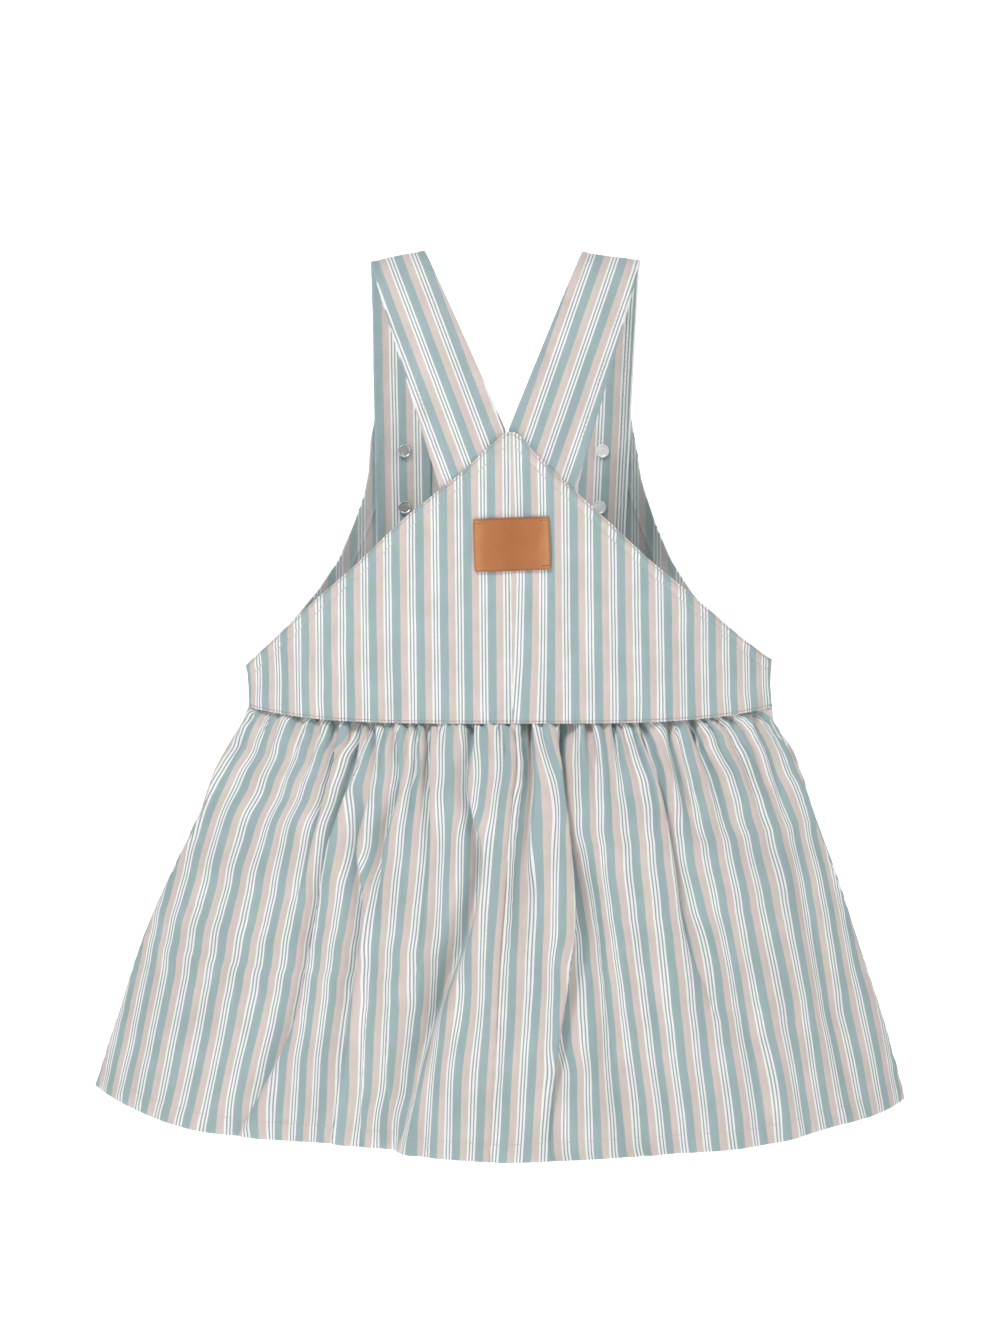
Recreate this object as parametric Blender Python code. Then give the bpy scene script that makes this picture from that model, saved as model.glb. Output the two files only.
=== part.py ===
"""Child's striped pinafore dress, about 4 to 5 years, filled out as if worn.

Metres, +Z up, +X to the wearer's right, the back of the dress faces -Y. The origin lies between the
shoulders, level with the folds of the straps, where the wearer's shoulders hold the dress up. Each cloth
piece is a wall whose middle surface is worked out on one general figure: a flattened tube, widest at the
hem, whose front and back round over into the shoulders.
"""
import math

import bpy
import numpy as np

# ---------------------------------------------------------------- driving sizes
CLOTH = 0.0018              # wall of a single cloth piece
STRAP_CLOTH = 0.0020        # the straps are two layers of the same cloth
SEAM_GAP = 0.0003           # between pieces that are sewn together
WAIST_LEVEL = -0.2888       # waist seam at the centre of the back
WAIST_RISE = 0.0095         # the seam is this much higher at the side seams
SHOULDER_DROP = 0.150       # height over which the figure rounds over into the shoulders
SECTION_FLATNESS = 2.5      # exponents of the flattened section: how flat it is in the middle, and how
BODICE_EDGE = 1.25          # it turns over at the side seams, 1 is a sharp edge and 2 is a round one
STRAP_CLEARANCE = 0.0028    # middle of a strap to the middle of the panel that it is sewn or snapped to
PATCH_SIZE = (0.0450, 0.0309)
PATCH_CENTRE = (0.0029, -0.1807)
PATCH_TILT = math.radians(2.0)
PATCH_THICKNESS = 0.0014
SNAP_RADIUS = 0.00425
SNAP_HEIGHT = 0.0016
SNAP_SIDES = 14

# The figure below the shoulders: level, half widths to the left and right, half depths to back and front
FIGURE = {
    "level":       (-0.2888, -0.2650, -0.2450, -0.2000, -0.1500, 0.0),
    "half_left":   (0.1580, 0.1580, 0.1610, 0.1610, 0.1610, 0.1610),
    "half_right":  (0.1625, 0.1615, 0.1630, 0.1630, 0.1630, 0.1630),
    "depth_back":  (0.0380, 0.0395, 0.0410, 0.0425, 0.0430, 0.0430),
    "depth_front": (0.0380, 0.0410, 0.0450, 0.0490, 0.0500, 0.0500),
}

# The skirt from its seam (0) to its hem (1): half widths, half depth and how it turns over at the sides
SKIRT = {
    "down":       (0.00, 0.05, 0.10, 0.16, 0.28, 0.42, 0.60, 0.80, 1.00),
    "half_left":  (0.1580, 0.1630, 0.1700, 0.1780, 0.1885, 0.2040, 0.2225, 0.2380, 0.2525),
    "half_right": (0.1625, 0.1650, 0.1722, 0.1790, 0.1890, 0.2015, 0.2160, 0.2315, 0.2440),
    "depth":      (0.0380, 0.0420, 0.0460, 0.0500, 0.0550, 0.0600, 0.0660, 0.0720, 0.0770),
    "edge":       (1.25, 1.22, 1.20, 1.20, 1.20, 1.25, 1.35, 1.50, 1.70),
}

BODICE_SEAM = (0.0024, 0.0038)   # the bodice's centre-back seam lies this far to the right: top, waist

# Level of the hem: share of the way out from its centre to each side seam, level
HEM_LEFT = {
    "out":   (0.00, 0.25, 0.50, 0.775, 0.87, 0.94, 1.00),
    "level": (-0.5490, -0.5450, -0.5377, -0.5317, -0.5246, -0.5180, -0.5110),
}
HEM_RIGHT = {
    "out":   (0.00, 0.37, 0.685, 0.805, 0.92, 1.00),
    "level": (-0.5490, -0.5451, -0.5391, -0.5321, -0.5264, -0.5195),
}

# Armhole edges of the back bodice: distance out from the centre, level
BACK_EDGE_LEFT = {
    "out":   (-0.0024, 0.0014, 0.0099, 0.0280, 0.0597, 0.0870, 0.1095, 0.1513, 0.1595),
    "level": (-0.1128, -0.1141, -0.1212, -0.1383, -0.1630, -0.1888, -0.2080, -0.2454, -0.2530),
}
BACK_EDGE_RIGHT = {
    "out":   (0.0024, 0.0054, 0.0093, 0.0178, 0.0316, 0.0640, 0.0858, 0.1125, 0.1425, 0.1615),
    "level": (-0.1128, -0.1141, -0.1170, -0.1273, -0.1407, -0.1696, -0.1900, -0.2116, -0.2369, -0.2497),
}

# Armhole edges of the front bib, from its top corner to the side seam
BIB_EDGE_LEFT = {
    "out":   (0.0816, 0.0850, 0.0862, 0.0888, 0.0955, 0.1048, 0.1170, 0.1292, 0.1433, 0.1595),
    "level": (-0.0958, -0.1133, -0.1330, -0.1466, -0.1661, -0.1881, -0.2065, -0.2220, -0.2390, -0.2530),
}
BIB_EDGE_RIGHT = {
    "out":   (0.0772, 0.0816, 0.0836, 0.0865, 0.0923, 0.1023, 0.1155, 0.1290, 0.1450, 0.1615),
    "level": (-0.0970, -0.1221, -0.1366, -0.1467, -0.1642, -0.1881, -0.2094, -0.2250, -0.2390, -0.2497),
}
NECK_DIP = 0.024            # the bib's top edge is this much lower at its centre

# Straps: distance out from the centre of each edge at the fold, its run per metre of drop, where it ends
STRAPS = {
    "left":  {"side": -1, "fold_outer": 0.0830, "fold_inner": 0.0510, "outer_level": -0.0062,
              "back_run_outer": -0.3070, "back_run_inner": -0.4420, "back_end_outer": 0.1540,
              "back_end_inner": 0.1195, "front_run_outer": -0.0110, "front_run_inner": -0.0180,
              "front_end": 0.1920},
    "right": {"side": 1, "fold_outer": 0.0812, "fold_inner": 0.0468, "outer_level": -0.0058,
              "back_run_outer": -0.2830, "back_run_inner": -0.4050, "back_end_outer": 0.1540,
              "back_end_inner": 0.1195, "front_run_outer": -0.0480, "front_run_inner": -0.0400,
              "front_end": 0.1920},
}
STRAP_CENTRE_GAP = 0.0012   # the straps stop this far from the centre-back seam

# Snaps: distance out from the centre and level, upper and lower
SNAPS = {
    "left_upper": (-0.0647, -0.1190), "left_lower": (-0.0647, -0.1548),
    "right_upper": (0.0605, -0.1190), "right_lower": (0.0586, -0.1548),
}

# Where the skirt's centre-back seam runs, as a share of the way to a side seam
BACK_SEAM = {
    "down":  (0.00, 0.05, 0.12, 0.18, 0.235, 0.29, 0.40, 0.54, 0.75, 1.00),
    "share": (0.0297, 0.0349, 0.0353, 0.0213, 0.0125, 0.0054, -0.0060, -0.0180, -0.0275, -0.0385),
}

# The largest folds: share of the way from the centre to a side seam at the waist, half way and at the hem,
# depth, half breadth, and how far down the skirt each one starts to fade and is gone
FOLD_COLUMNS = ("top", "middle", "hem", "depth", "breadth", "fade", "end")
BACK_FOLDS = (
    (-0.86, -0.80, -0.78, 0.0050, 0.0070, 0.10, 0.40),
    (-0.62, -0.61, -0.62, 0.0060, 0.0080, 0.25, 0.70),
    (-0.53, -0.555, -0.54, 0.0085, 0.0085, 0.50, 1.00),
    (-0.45, -0.445, -0.43, 0.0060, 0.0080, 0.40, 0.90),
    (-0.40, -0.40, -0.41, 0.0055, 0.0070, 0.20, 0.60),
    (-0.27, -0.25, -0.25, 0.0060, 0.0070, 0.20, 0.50),
    (-0.12, -0.13, -0.20, 0.0065, 0.0080, 0.60, 1.10),
    (0.16, 0.185, 0.13, 0.0095, 0.0085, 0.50, 1.00),
    (0.29, 0.29, 0.29, 0.0045, 0.0070, 0.10, 0.35),
    (0.47, 0.48, 0.51, 0.0070, 0.0080, 0.40, 0.90),
    (0.58, 0.60, 0.62, 0.0065, 0.0075, 0.15, 0.45),
    (0.69, 0.70, 0.72, 0.0050, 0.0075, 0.15, 0.50),
    (0.83, 0.80, 0.75, 0.0050, 0.0080, 0.60, 1.00),
)
FRONT_FOLDS = (
    (-0.84, -0.82, -0.80, 0.0055, 0.0080, 0.50, 0.95),
    (-0.70, -0.71, -0.72, 0.0050, 0.0075, 0.15, 0.45),
    (-0.56, -0.57, -0.60, 0.0075, 0.0080, 0.45, 0.95),
    (-0.41, -0.42, -0.42, 0.0060, 0.0075, 0.20, 0.60),
    (-0.27, -0.29, -0.33, 0.0080, 0.0085, 0.55, 1.05),
    (-0.13, -0.12, -0.12, 0.0050, 0.0075, 0.15, 0.45),
    (0.04, 0.05, 0.04, 0.0075, 0.0080, 0.40, 0.90),
    (0.19, 0.20, 0.21, 0.0055, 0.0075, 0.20, 0.60),
    (0.33, 0.35, 0.38, 0.0085, 0.0085, 0.55, 1.05),
    (0.47, 0.48, 0.49, 0.0055, 0.0075, 0.20, 0.55),
    (0.62, 0.63, 0.66, 0.0070, 0.0080, 0.45, 0.95),
    (0.80, 0.80, 0.81, 0.0050, 0.0080, 0.30, 0.80),
)

# Finishes: colour, roughness, metallic
FINISH = {
    "twill": ((0.46, 0.52, 0.52), 0.85, 0.0),
    "tan_leather": ((0.45, 0.17, 0.06), 0.48, 0.0),
    "brushed_steel": ((0.72, 0.71, 0.68), 0.30, 1.0),
}


# ---------------------------------------------------------------- the figure
def rounding(share, edge):
    """How far a flattened section still stands out, 1 at its middle and 0 at its side."""
    return (1.0 - np.clip(np.abs(share), 0.0, 1.0) ** SECTION_FLATNESS) ** (1.0 / edge)


def figure_depth(face, level, clearance=0.0):
    """Half depth of the figure at a level, less a clearance; face is -1 at the back, 1 in front."""
    column = "depth_back" if face < 0 else "depth_front"
    full = np.interp(level, FIGURE["level"], FIGURE[column]) - clearance
    drop = np.clip(-np.asarray(level, float) / SHOULDER_DROP, 0.0, 1.0)
    return full * np.sqrt(1.0 - (1.0 - drop) ** 2)


def figure_half_width(x, level):
    left = np.interp(level, FIGURE["level"], FIGURE["half_left"])
    right = np.interp(level, FIGURE["level"], FIGURE["half_right"])
    return np.where(np.asarray(x) < 0, left, right)


def on_bodice(face, x, level):
    """The point of the bodice's middle surface that a front or back view shows at x and a level."""
    half = figure_half_width(x, level)
    y = figure_depth(face, level) * rounding(x / half, BODICE_EDGE)
    y = np.maximum(y, SEAM_GAP / 2)
    return np.stack(np.broadcast_arrays(x, face * y, level), axis=-1)


def waist_level(share):
    return WAIST_LEVEL + WAIST_RISE * np.abs(share) ** 4


# ---------------------------------------------------------------- solids
def finish(name):
    colour, roughness, metallic = FINISH[name]
    material = bpy.data.materials.get(name) or bpy.data.materials.new(name)
    material.use_nodes = True
    shader = material.node_tree.nodes["Principled BSDF"]
    shader.inputs["Base Color"].default_value = (*colour, 1.0)
    shader.inputs["Roughness"].default_value = roughness
    shader.inputs["Metallic"].default_value = metallic
    return material


def add_object(name, points, faces, material):
    mesh = bpy.data.meshes.new(name)
    mesh.from_pydata([tuple(p) for p in points], [], faces)
    mesh.materials.append(finish(material))
    mesh.validate()
    mesh.shade_smooth()
    mesh.set_sharp_from_angle(angle=math.radians(40))
    thing = bpy.data.objects.new(name, mesh)
    bpy.context.collection.objects.link(thing)
    return thing


def surface_normals(grid, outward):
    """Unit normals of a grid of points, turned to the side that outward points to on average."""
    across = np.gradient(grid, axis=1)
    down = np.gradient(grid, axis=0)
    normals = np.cross(across, down)
    normals /= np.linalg.norm(normals, axis=2, keepdims=True)
    if np.sum(normals * outward) < 0:
        normals = -normals
    return normals


def wall(name, grid, offsets, thickness, material):
    """A closed wall around a grid of points: half its thickness along the offsets, half against them."""
    rows, columns = grid.shape[:2]
    outer = (grid + offsets * thickness / 2).reshape(-1, 3)
    inner = (grid - offsets * thickness / 2).reshape(-1, 3)
    back = rows * columns
    faces = []
    for r in range(rows - 1):
        for c in range(columns - 1):
            a, b = r * columns + c, r * columns + c + 1
            d, e = a + columns, b + columns
            faces.append((a, d, e, b))
            faces.append((back + a, back + b, back + e, back + d))
    rim = [c for c in range(columns)]
    rim += [r * columns + columns - 1 for r in range(1, rows)]
    rim += [(rows - 1) * columns + c for c in range(columns - 2, -1, -1)]
    rim += [r * columns for r in range(rows - 2, 0, -1)]
    for a, b in zip(rim, rim[1:] + rim[:1]):
        faces.append((a, b, back + b, back + a))
    thing = add_object(name, np.concatenate([outer, inner]), faces, material)
    across = grid[0, 1] - grid[0, 0]
    down = grid[1, 0] - grid[0, 0]
    if np.dot(np.cross(down, across), offsets[0, 0]) < 0:
        thing.data.flip_normals()
    return thing


# ---------------------------------------------------------------- bodice
BACK_COLUMNS = 15
BACK_ROWS = 9
BIB_COLUMNS = 24
BIB_ROWS = 13


def back_bodice(name, side, edge):
    """Half of the back bodice: each column runs from the waist seam up to the armhole edge."""
    seam_top, seam_waist = np.array(BODICE_SEAM) + side * SEAM_GAP / 2
    spread = np.sin(np.linspace(0.0, math.pi / 2, BACK_COLUMNS))
    x_top = seam_top + (side * edge["out"][-1] - seam_top) * spread
    top = np.interp(side * x_top, edge["out"], edge["level"])
    half_waist = figure_half_width(x_top, WAIST_LEVEL)
    x_waist = seam_waist + (side * half_waist - seam_waist) * spread
    bottom = waist_level(x_waist / half_waist) + SEAM_GAP / 2
    share_top = x_top / figure_half_width(x_top, top)
    share_waist = x_waist / half_waist
    grid = []
    for f in np.linspace(0.0, 1.0, BACK_ROWS):
        level = bottom + (top - bottom) * f
        share = share_waist + (share_top - share_waist) * f
        grid.append(on_bodice(-1, share * figure_half_width(share, level), level))
    grid = np.array(grid)
    grid[:, -1, 1] = -SEAM_GAP / 2
    offsets = surface_normals(grid, np.array([0.0, -1.0, 0.0]))
    offsets[:, -1] = (side, 0.0, 0.0)
    return wall(name, grid, offsets, CLOTH, "twill")


def bib():
    """The front bib: rows from its dipped top edge down to the waist seam, between the armhole edges."""
    grid = []
    edge_rows = BIB_ROWS - 3
    for r in range(BIB_ROWS):
        if r < edge_rows:
            f = r / (edge_rows - 1)
            left_level = BIB_EDGE_LEFT["level"][0] * (1 - f) + BIB_EDGE_LEFT["level"][-1] * f
            right_level = BIB_EDGE_RIGHT["level"][0] * (1 - f) + BIB_EDGE_RIGHT["level"][-1] * f
            left = -np.interp(-left_level, [-z for z in BIB_EDGE_LEFT["level"]], BIB_EDGE_LEFT["out"])
            right = np.interp(-right_level, [-z for z in BIB_EDGE_RIGHT["level"]], BIB_EDGE_RIGHT["out"])
            dip = NECK_DIP * (1 - f)
        else:
            f = (r - edge_rows + 1) / (BIB_ROWS - edge_rows)
            side_level = waist_level(1.0) + SEAM_GAP / 2
            left_level = BIB_EDGE_LEFT["level"][-1] * (1 - f) + side_level * f
            right_level = BIB_EDGE_RIGHT["level"][-1] * (1 - f) + side_level * f
            left = -np.interp(left_level, FIGURE["level"], FIGURE["half_left"])
            right = np.interp(right_level, FIGURE["level"], FIGURE["half_right"])
            dip = 0.0
        share = np.sin(np.linspace(-math.pi / 2, math.pi / 2, BIB_COLUMNS + 1))
        x = np.where(share < 0, -left * share, right * share)
        level = (left_level + right_level) / 2 + (right_level - left_level) / 2 * share
        level = level - dip * (1 - share ** 4)
        if r >= edge_rows:
            level = level + (waist_level(share) - waist_level(1.0)) * f
        grid.append(on_bodice(1, x, level))
    grid = np.array(grid)
    grid[edge_rows - 1:, 0, 1] = SEAM_GAP / 2
    grid[edge_rows - 1:, -1, 1] = SEAM_GAP / 2
    offsets = surface_normals(grid, np.array([0.0, 1.0, 0.0]))
    offsets[edge_rows - 1:, 0] = (-1.0, 0.0, 0.0)
    offsets[edge_rows - 1:, -1] = (1.0, 0.0, 0.0)
    return wall("front_bib", grid, offsets, CLOTH, "twill")


# ---------------------------------------------------------------- straps
STRAP_COLUMNS = 4
STRAP_BACK_ROWS = 13
STRAP_FRONT_ROWS = 14


def strap(name, cut):
    """A strap from its end under the back point, over its fold on the shoulder, to its end in the bib."""
    side = cut["side"]
    share = np.linspace(0.0, 1.0, STRAP_COLUMNS + 1)          # outer edge to inner edge
    fold_level = cut["outer_level"] * (1 - share)
    fold_out = cut["fold_outer"] + (cut["fold_inner"] - cut["fold_outer"]) * share
    back_run = cut["back_run_outer"] + (cut["back_run_inner"] - cut["back_run_outer"]) * share
    front_run = cut["front_run_outer"] + (cut["front_run_inner"] - cut["front_run_outer"]) * share
    back_end = cut["back_end_outer"] + (cut["back_end_inner"] - cut["back_end_outer"]) * share
    grid = []
    for f in np.linspace(1.0, 0.0, STRAP_BACK_ROWS):
        drop = back_end * f ** 2
        out = np.maximum(fold_out + back_run * drop, STRAP_CENTRE_GAP)
        grid.append(strap_row(-1, side * out, drop, fold_level))
    for f in np.linspace(0.0, 1.0, STRAP_FRONT_ROWS)[1:]:
        drop = cut["front_end"] * f ** 2 + 0.0 * share
        grid.append(strap_row(1, side * (fold_out + front_run * drop), drop, fold_level))
    grid = np.array(grid)
    face = np.sign(grid[:, :, 1:2]) * (0.0, 1.0, 0.0)
    return wall(name, grid, surface_normals(grid, face), STRAP_CLOTH, "twill")


def strap_row(face, x, drop, fold_level):
    """Points of a strap across its breadth, each a drop below its own point of the slanted fold."""
    half = figure_half_width(x, fold_level - drop)
    depth = figure_depth(face, -drop, STRAP_CLEARANCE) * rounding(x / half, BODICE_EDGE)
    return np.stack([x, face * depth, fold_level - drop], axis=-1)


# ---------------------------------------------------------------- skirt
BACK_SKIRT_COLUMNS = 38
FRONT_SKIRT_COLUMNS = 74
SKIRT_ROWS = 8
CURVE_STEPS = 400


def quarter_section(down, side):
    """Quarter of the skirt's section from its centre to a side seam: x, y and the distance along it."""
    half = np.interp(down, SKIRT["down"], SKIRT["half_left" if side < 0 else "half_right"])
    depth = np.interp(down, SKIRT["down"], SKIRT["depth"])
    edge = np.interp(down, SKIRT["down"], SKIRT["edge"])
    turn = np.linspace(0.0, math.pi / 2, CURVE_STEPS)
    x = half * np.sin(turn) ** (2 / SECTION_FLATNESS)
    y = depth * np.clip(np.cos(turn), 0.0, 1.0) ** (2 / edge)
    along = np.concatenate([[0.0], np.cumsum(np.hypot(np.diff(x), np.diff(y)))])
    return x, y, along


def fold_depth(share, down, folds, length):
    """How far the folds push the cloth in, for a section whose quarter has the given length."""
    push = np.zeros_like(share)
    for row in folds:
        fold = dict(zip(FOLD_COLUMNS, row))
        place = np.interp(down, (0.0, 0.5, 1.0), (fold["top"], fold["middle"], fold["hem"]))
        fade = np.clip((fold["end"] - down) / (fold["end"] - fold["fade"]), 0.0, 1.0)
        fade = fade * fade * (3 - 2 * fade)
        breadth = fold["breadth"] * (1.0 + 1.2 * down)
        push += fold["depth"] * fade * np.exp(-((share - place) * length / breadth) ** 2)
    return push


def skirt_point(face, share, down, folds):
    """Points of the skirt's middle surface, and the section's own normals there, for shares of the way."""
    points, normals = np.zeros((len(share), 3)), np.zeros((len(share), 3))
    for side in (-1, 1):
        chosen = share < 0 if side < 0 else share >= 0
        x, y, along = quarter_section(down, side)
        length = along[-1]
        s = np.abs(share[chosen]) * length
        px, py = np.interp(s, along, x), np.interp(s, along, y)
        step = length / CURVE_STEPS
        tx = np.interp(s + step, along, x) - np.interp(s - step, along, x)
        ty = np.interp(s + step, along, y) - np.interp(s - step, along, y)
        norm = np.hypot(tx, ty)
        nx, ny = -ty / norm, tx / norm
        near_side = np.clip((1.0 - np.abs(share[chosen])) / 0.06, 0.0, 1.0)
        push = fold_depth(share[chosen], down, folds, length) * near_side
        half = x[-1]
        top = waist_level(px / half) - SEAM_GAP / 2
        outline = HEM_LEFT if side < 0 else HEM_RIGHT
        hem = np.interp(px / half, outline["out"], outline["level"])
        level = top + (hem - top) * down
        points[chosen] = np.stack([side * (px - nx * push), face * (py - ny * push), level], axis=-1)
        normals[chosen] = np.stack([side * nx, face * ny, 0.0 * nx], axis=-1)
    return points, normals


def skirt_grid(face, start, end, columns, folds):
    """Middle surface of a skirt width between two lines, each a share of the way to a side seam."""
    grid, offsets = [], []
    for down in np.linspace(0.0, 1.0, SKIRT_ROWS + 1) ** 1.25:
        share = np.linspace(start(down), end(down), columns + 1)
        points, normals = skirt_point(face, share, down, folds)
        grid.append(points)
        offsets.append(normals)
    grid, offsets = np.array(grid), np.array(offsets)
    for column in (0, -1):
        if np.all(np.abs(grid[:, column, 1]) < 0.001):
            grid[:, column, 1] = face * SEAM_GAP / 2
            offsets[:, column] = (math.copysign(1.0, grid[0, column, 0]), 0.0, 0.0)
    return grid, offsets


def back_seam(shift):
    """The skirt's centre-back seam, moved to one side by a small distance."""
    def line(down):
        share = np.interp(down, BACK_SEAM["down"], BACK_SEAM["share"])
        return share + shift / quarter_section(down, 1)[2][-1]
    return line


# ---------------------------------------------------------------- what is set on
POCKET_TOP = 0.4            # rows of the front skirt's own points, counted from its seam
POCKET_FOOT = 2.0
POCKET_EDGES = (0.06, 0.85)  # columns of the front skirt, counted from the side seam


def pocket_edge(skirt_points, skirt_normals):
    """Turned edge of the pocket in the right side seam, made from the front skirt's points moved out."""
    rows = (POCKET_TOP, 1.0, POCKET_FOOT)
    columns = np.linspace(*POCKET_EDGES, 3)
    lift = CLOTH + SEAM_GAP
    grid, offsets = [], []
    for row in rows:
        r = int(row)
        part_down = row - r
        points = skirt_points[r] + (skirt_points[r + 1] - skirt_points[r]) * part_down
        normals = skirt_normals[r] + (skirt_normals[r + 1] - skirt_normals[r]) * part_down
        share = columns[:, None]
        grid.append(points[-1] + (points[-2] - points[-1]) * share)
        offsets.append(normals[-1] + (normals[-2] - normals[-1]) * share)
    grid, offsets = np.array(grid), np.array(offsets)
    return wall("pocket_edge_right", grid + offsets * lift, offsets, CLOTH, "twill")


def patch():
    """Leather patch across the centre-back seam, made from the panel's own points moved out."""
    width, height = PATCH_SIZE
    grid = []
    for v in np.linspace(-0.5, 0.5, 4):
        row = []
        for u in np.linspace(-0.5, 0.5, 7):
            dx, dz = u * width, v * height
            x = PATCH_CENTRE[0] + dx * math.cos(PATCH_TILT) - dz * math.sin(PATCH_TILT)
            z = PATCH_CENTRE[1] + dx * math.sin(PATCH_TILT) + dz * math.cos(PATCH_TILT)
            row.append(on_bodice(-1, np.array(x), np.array(z)))
        grid.append(row)
    grid = np.array(grid)
    offsets = surface_normals(grid, np.array([0.0, -1.0, 0.0]))
    grid = grid + offsets * (CLOTH / 2 + SEAM_GAP + PATCH_THICKNESS / 2)
    return wall("leather_patch", grid, offsets, PATCH_THICKNESS, "tan_leather")


def snap(name, centre, normal):
    """A snap's round cap: a low drum whose rim is rounded off, standing on a point along a normal."""
    normal = normal / np.linalg.norm(normal)
    across = np.cross(normal, (0.0, 0.0, 1.0))
    across /= np.linalg.norm(across)
    up = np.cross(across, normal)
    rings = ((0.80, 0.0), (1.0, 0.25), (1.0, 0.70), (0.82, 1.0))
    points = [centre]
    for radius, height in rings:
        for k in range(SNAP_SIDES):
            angle = 2 * math.pi * k / SNAP_SIDES
            rim = across * math.cos(angle) + up * math.sin(angle)
            points.append(centre + rim * SNAP_RADIUS * radius + normal * SNAP_HEIGHT * height)
    points.append(centre + normal * SNAP_HEIGHT)
    faces = []
    for k in range(SNAP_SIDES):
        n = (k + 1) % SNAP_SIDES
        faces.append((0, 1 + n, 1 + k))
        for r in range(len(rings) - 1):
            a, b = 1 + r * SNAP_SIDES + k, 1 + r * SNAP_SIDES + n
            faces.append((a, b, b + SNAP_SIDES, a + SNAP_SIDES))
        last = 1 + (len(rings) - 1) * SNAP_SIDES
        faces.append((last + k, last + n, len(points) - 1))
    thing = add_object(name, points, faces, "brushed_steel")
    drum = thing.data
    if drum.polygons[0].normal.dot(normal.tolist()) > 0:
        drum.flip_normals()
    return thing


def snap_pair(label, x, level):
    """A snap's two faces: one on the strap's underside, one outside the bib."""
    step = 0.001
    x, level = np.array(x), np.array(level)
    here = on_bodice(1, x, level)
    across = on_bodice(1, x + step, level) - here
    upward = on_bodice(1, x, level + step) - here
    normal = np.cross(upward, across)
    normal *= math.copysign(1.0, normal[1])
    normal /= np.linalg.norm(normal)
    inner = here - normal * (STRAP_CLEARANCE + STRAP_CLOTH / 2 + SEAM_GAP)
    outer = here + normal * (CLOTH / 2 + SEAM_GAP)
    snap("snap_inner_" + label, inner, -normal)
    snap("snap_outer_" + label, outer, normal)


def build():
    for thing in list(bpy.data.objects):
        bpy.data.objects.remove(thing, do_unlink=True)
    back_bodice("back_bodice_left", -1, BACK_EDGE_LEFT)
    back_bodice("back_bodice_right", 1, BACK_EDGE_RIGHT)
    bib()
    for label, cut in STRAPS.items():
        strap("strap_" + label, cut)
    left_side, right_side = (lambda down: -1.0), (lambda down: 1.0)
    back_left = skirt_grid(-1, left_side, back_seam(-SEAM_GAP / 2), BACK_SKIRT_COLUMNS, BACK_FOLDS)
    back_right = skirt_grid(-1, back_seam(SEAM_GAP / 2), right_side, BACK_SKIRT_COLUMNS, BACK_FOLDS)
    front = skirt_grid(1, left_side, right_side, FRONT_SKIRT_COLUMNS, FRONT_FOLDS)
    wall("back_skirt_left", *back_left, CLOTH, "twill")
    wall("back_skirt_right", *back_right, CLOTH, "twill")
    wall("front_skirt", *front, CLOTH, "twill")
    pocket_edge(*front)
    patch()
    for label, (x, level) in SNAPS.items():
        snap_pair(label, x, level)


build()
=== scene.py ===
import math

import bpy
import numpy as np
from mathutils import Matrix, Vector


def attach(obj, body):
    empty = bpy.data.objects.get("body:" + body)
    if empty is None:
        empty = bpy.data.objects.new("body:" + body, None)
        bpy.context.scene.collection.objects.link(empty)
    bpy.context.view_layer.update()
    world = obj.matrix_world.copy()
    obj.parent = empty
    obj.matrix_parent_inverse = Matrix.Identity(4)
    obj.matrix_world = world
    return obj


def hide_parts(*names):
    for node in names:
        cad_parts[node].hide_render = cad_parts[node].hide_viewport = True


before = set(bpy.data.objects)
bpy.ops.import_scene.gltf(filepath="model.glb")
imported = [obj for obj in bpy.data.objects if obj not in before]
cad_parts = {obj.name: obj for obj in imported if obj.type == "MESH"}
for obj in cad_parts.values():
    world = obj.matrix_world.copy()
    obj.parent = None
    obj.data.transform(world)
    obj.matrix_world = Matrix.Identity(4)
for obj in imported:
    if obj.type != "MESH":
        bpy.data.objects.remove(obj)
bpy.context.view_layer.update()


# ---------------------------------------------------------------- back bodice
# The pointed back bodice: two halves of striped cotton twill, each self-faced, joined by a seam down the
# centre of the back. The armhole edges are turned in and topstitched, and the seam is topstitched beside
# itself. The stripes are woven in, so they follow each piece's own cloth coordinates in metres.
WAIST_LEVEL = -0.2888
WAIST_RISE = 0.0095
SHOULDER_DROP = 0.150
SECTION_FLATNESS = 2.5
BODICE_EDGE = 1.25
BODICE_CLOTH = 0.0014       # two layers of twill
BODICE_SEAM = (0.0024, 0.0038)  # the centre-back seam's place at its top and at the waist
FIGURE = {
    "level":       (-0.2888, -0.2650, -0.2450, -0.2000, -0.1500, 0.0),
    "half_left":   (0.1580, 0.1580, 0.1610, 0.1610, 0.1610, 0.1610),
    "half_right":  (0.1625, 0.1615, 0.1630, 0.1630, 0.1630, 0.1630),
    "depth_back":  (0.0380, 0.0395, 0.0410, 0.0425, 0.0430, 0.0430),
    "depth_front": (0.0380, 0.0410, 0.0450, 0.0490, 0.0500, 0.0500),
}
BACK_EDGE_LEFT = {
    "out":   (-0.0024, 0.0014, 0.0099, 0.0280, 0.0597, 0.0870, 0.1095, 0.1513, 0.1595),
    "level": (-0.1128, -0.1141, -0.1212, -0.1383, -0.1630, -0.1888, -0.2080, -0.2454, -0.2530),
}
BACK_EDGE_RIGHT = {
    "out":   (0.0024, 0.0054, 0.0093, 0.0178, 0.0316, 0.0640, 0.0858, 0.1125, 0.1425, 0.1615),
    "level": (-0.1128, -0.1141, -0.1170, -0.1273, -0.1407, -0.1696, -0.1900, -0.2116, -0.2369, -0.2497),
}
ARMHOLE_HEM = 0.0062        # the armhole topstitching is this far in from the edge
EDGE_LINE_INSET = 0.0009        # the warm line of thread and painted seam shade lies this far in from the waist seam and the armhole edges
SEAM_STITCH = 0.0024        # the bodice seam's topstitching is this far to the left of the seam
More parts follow.
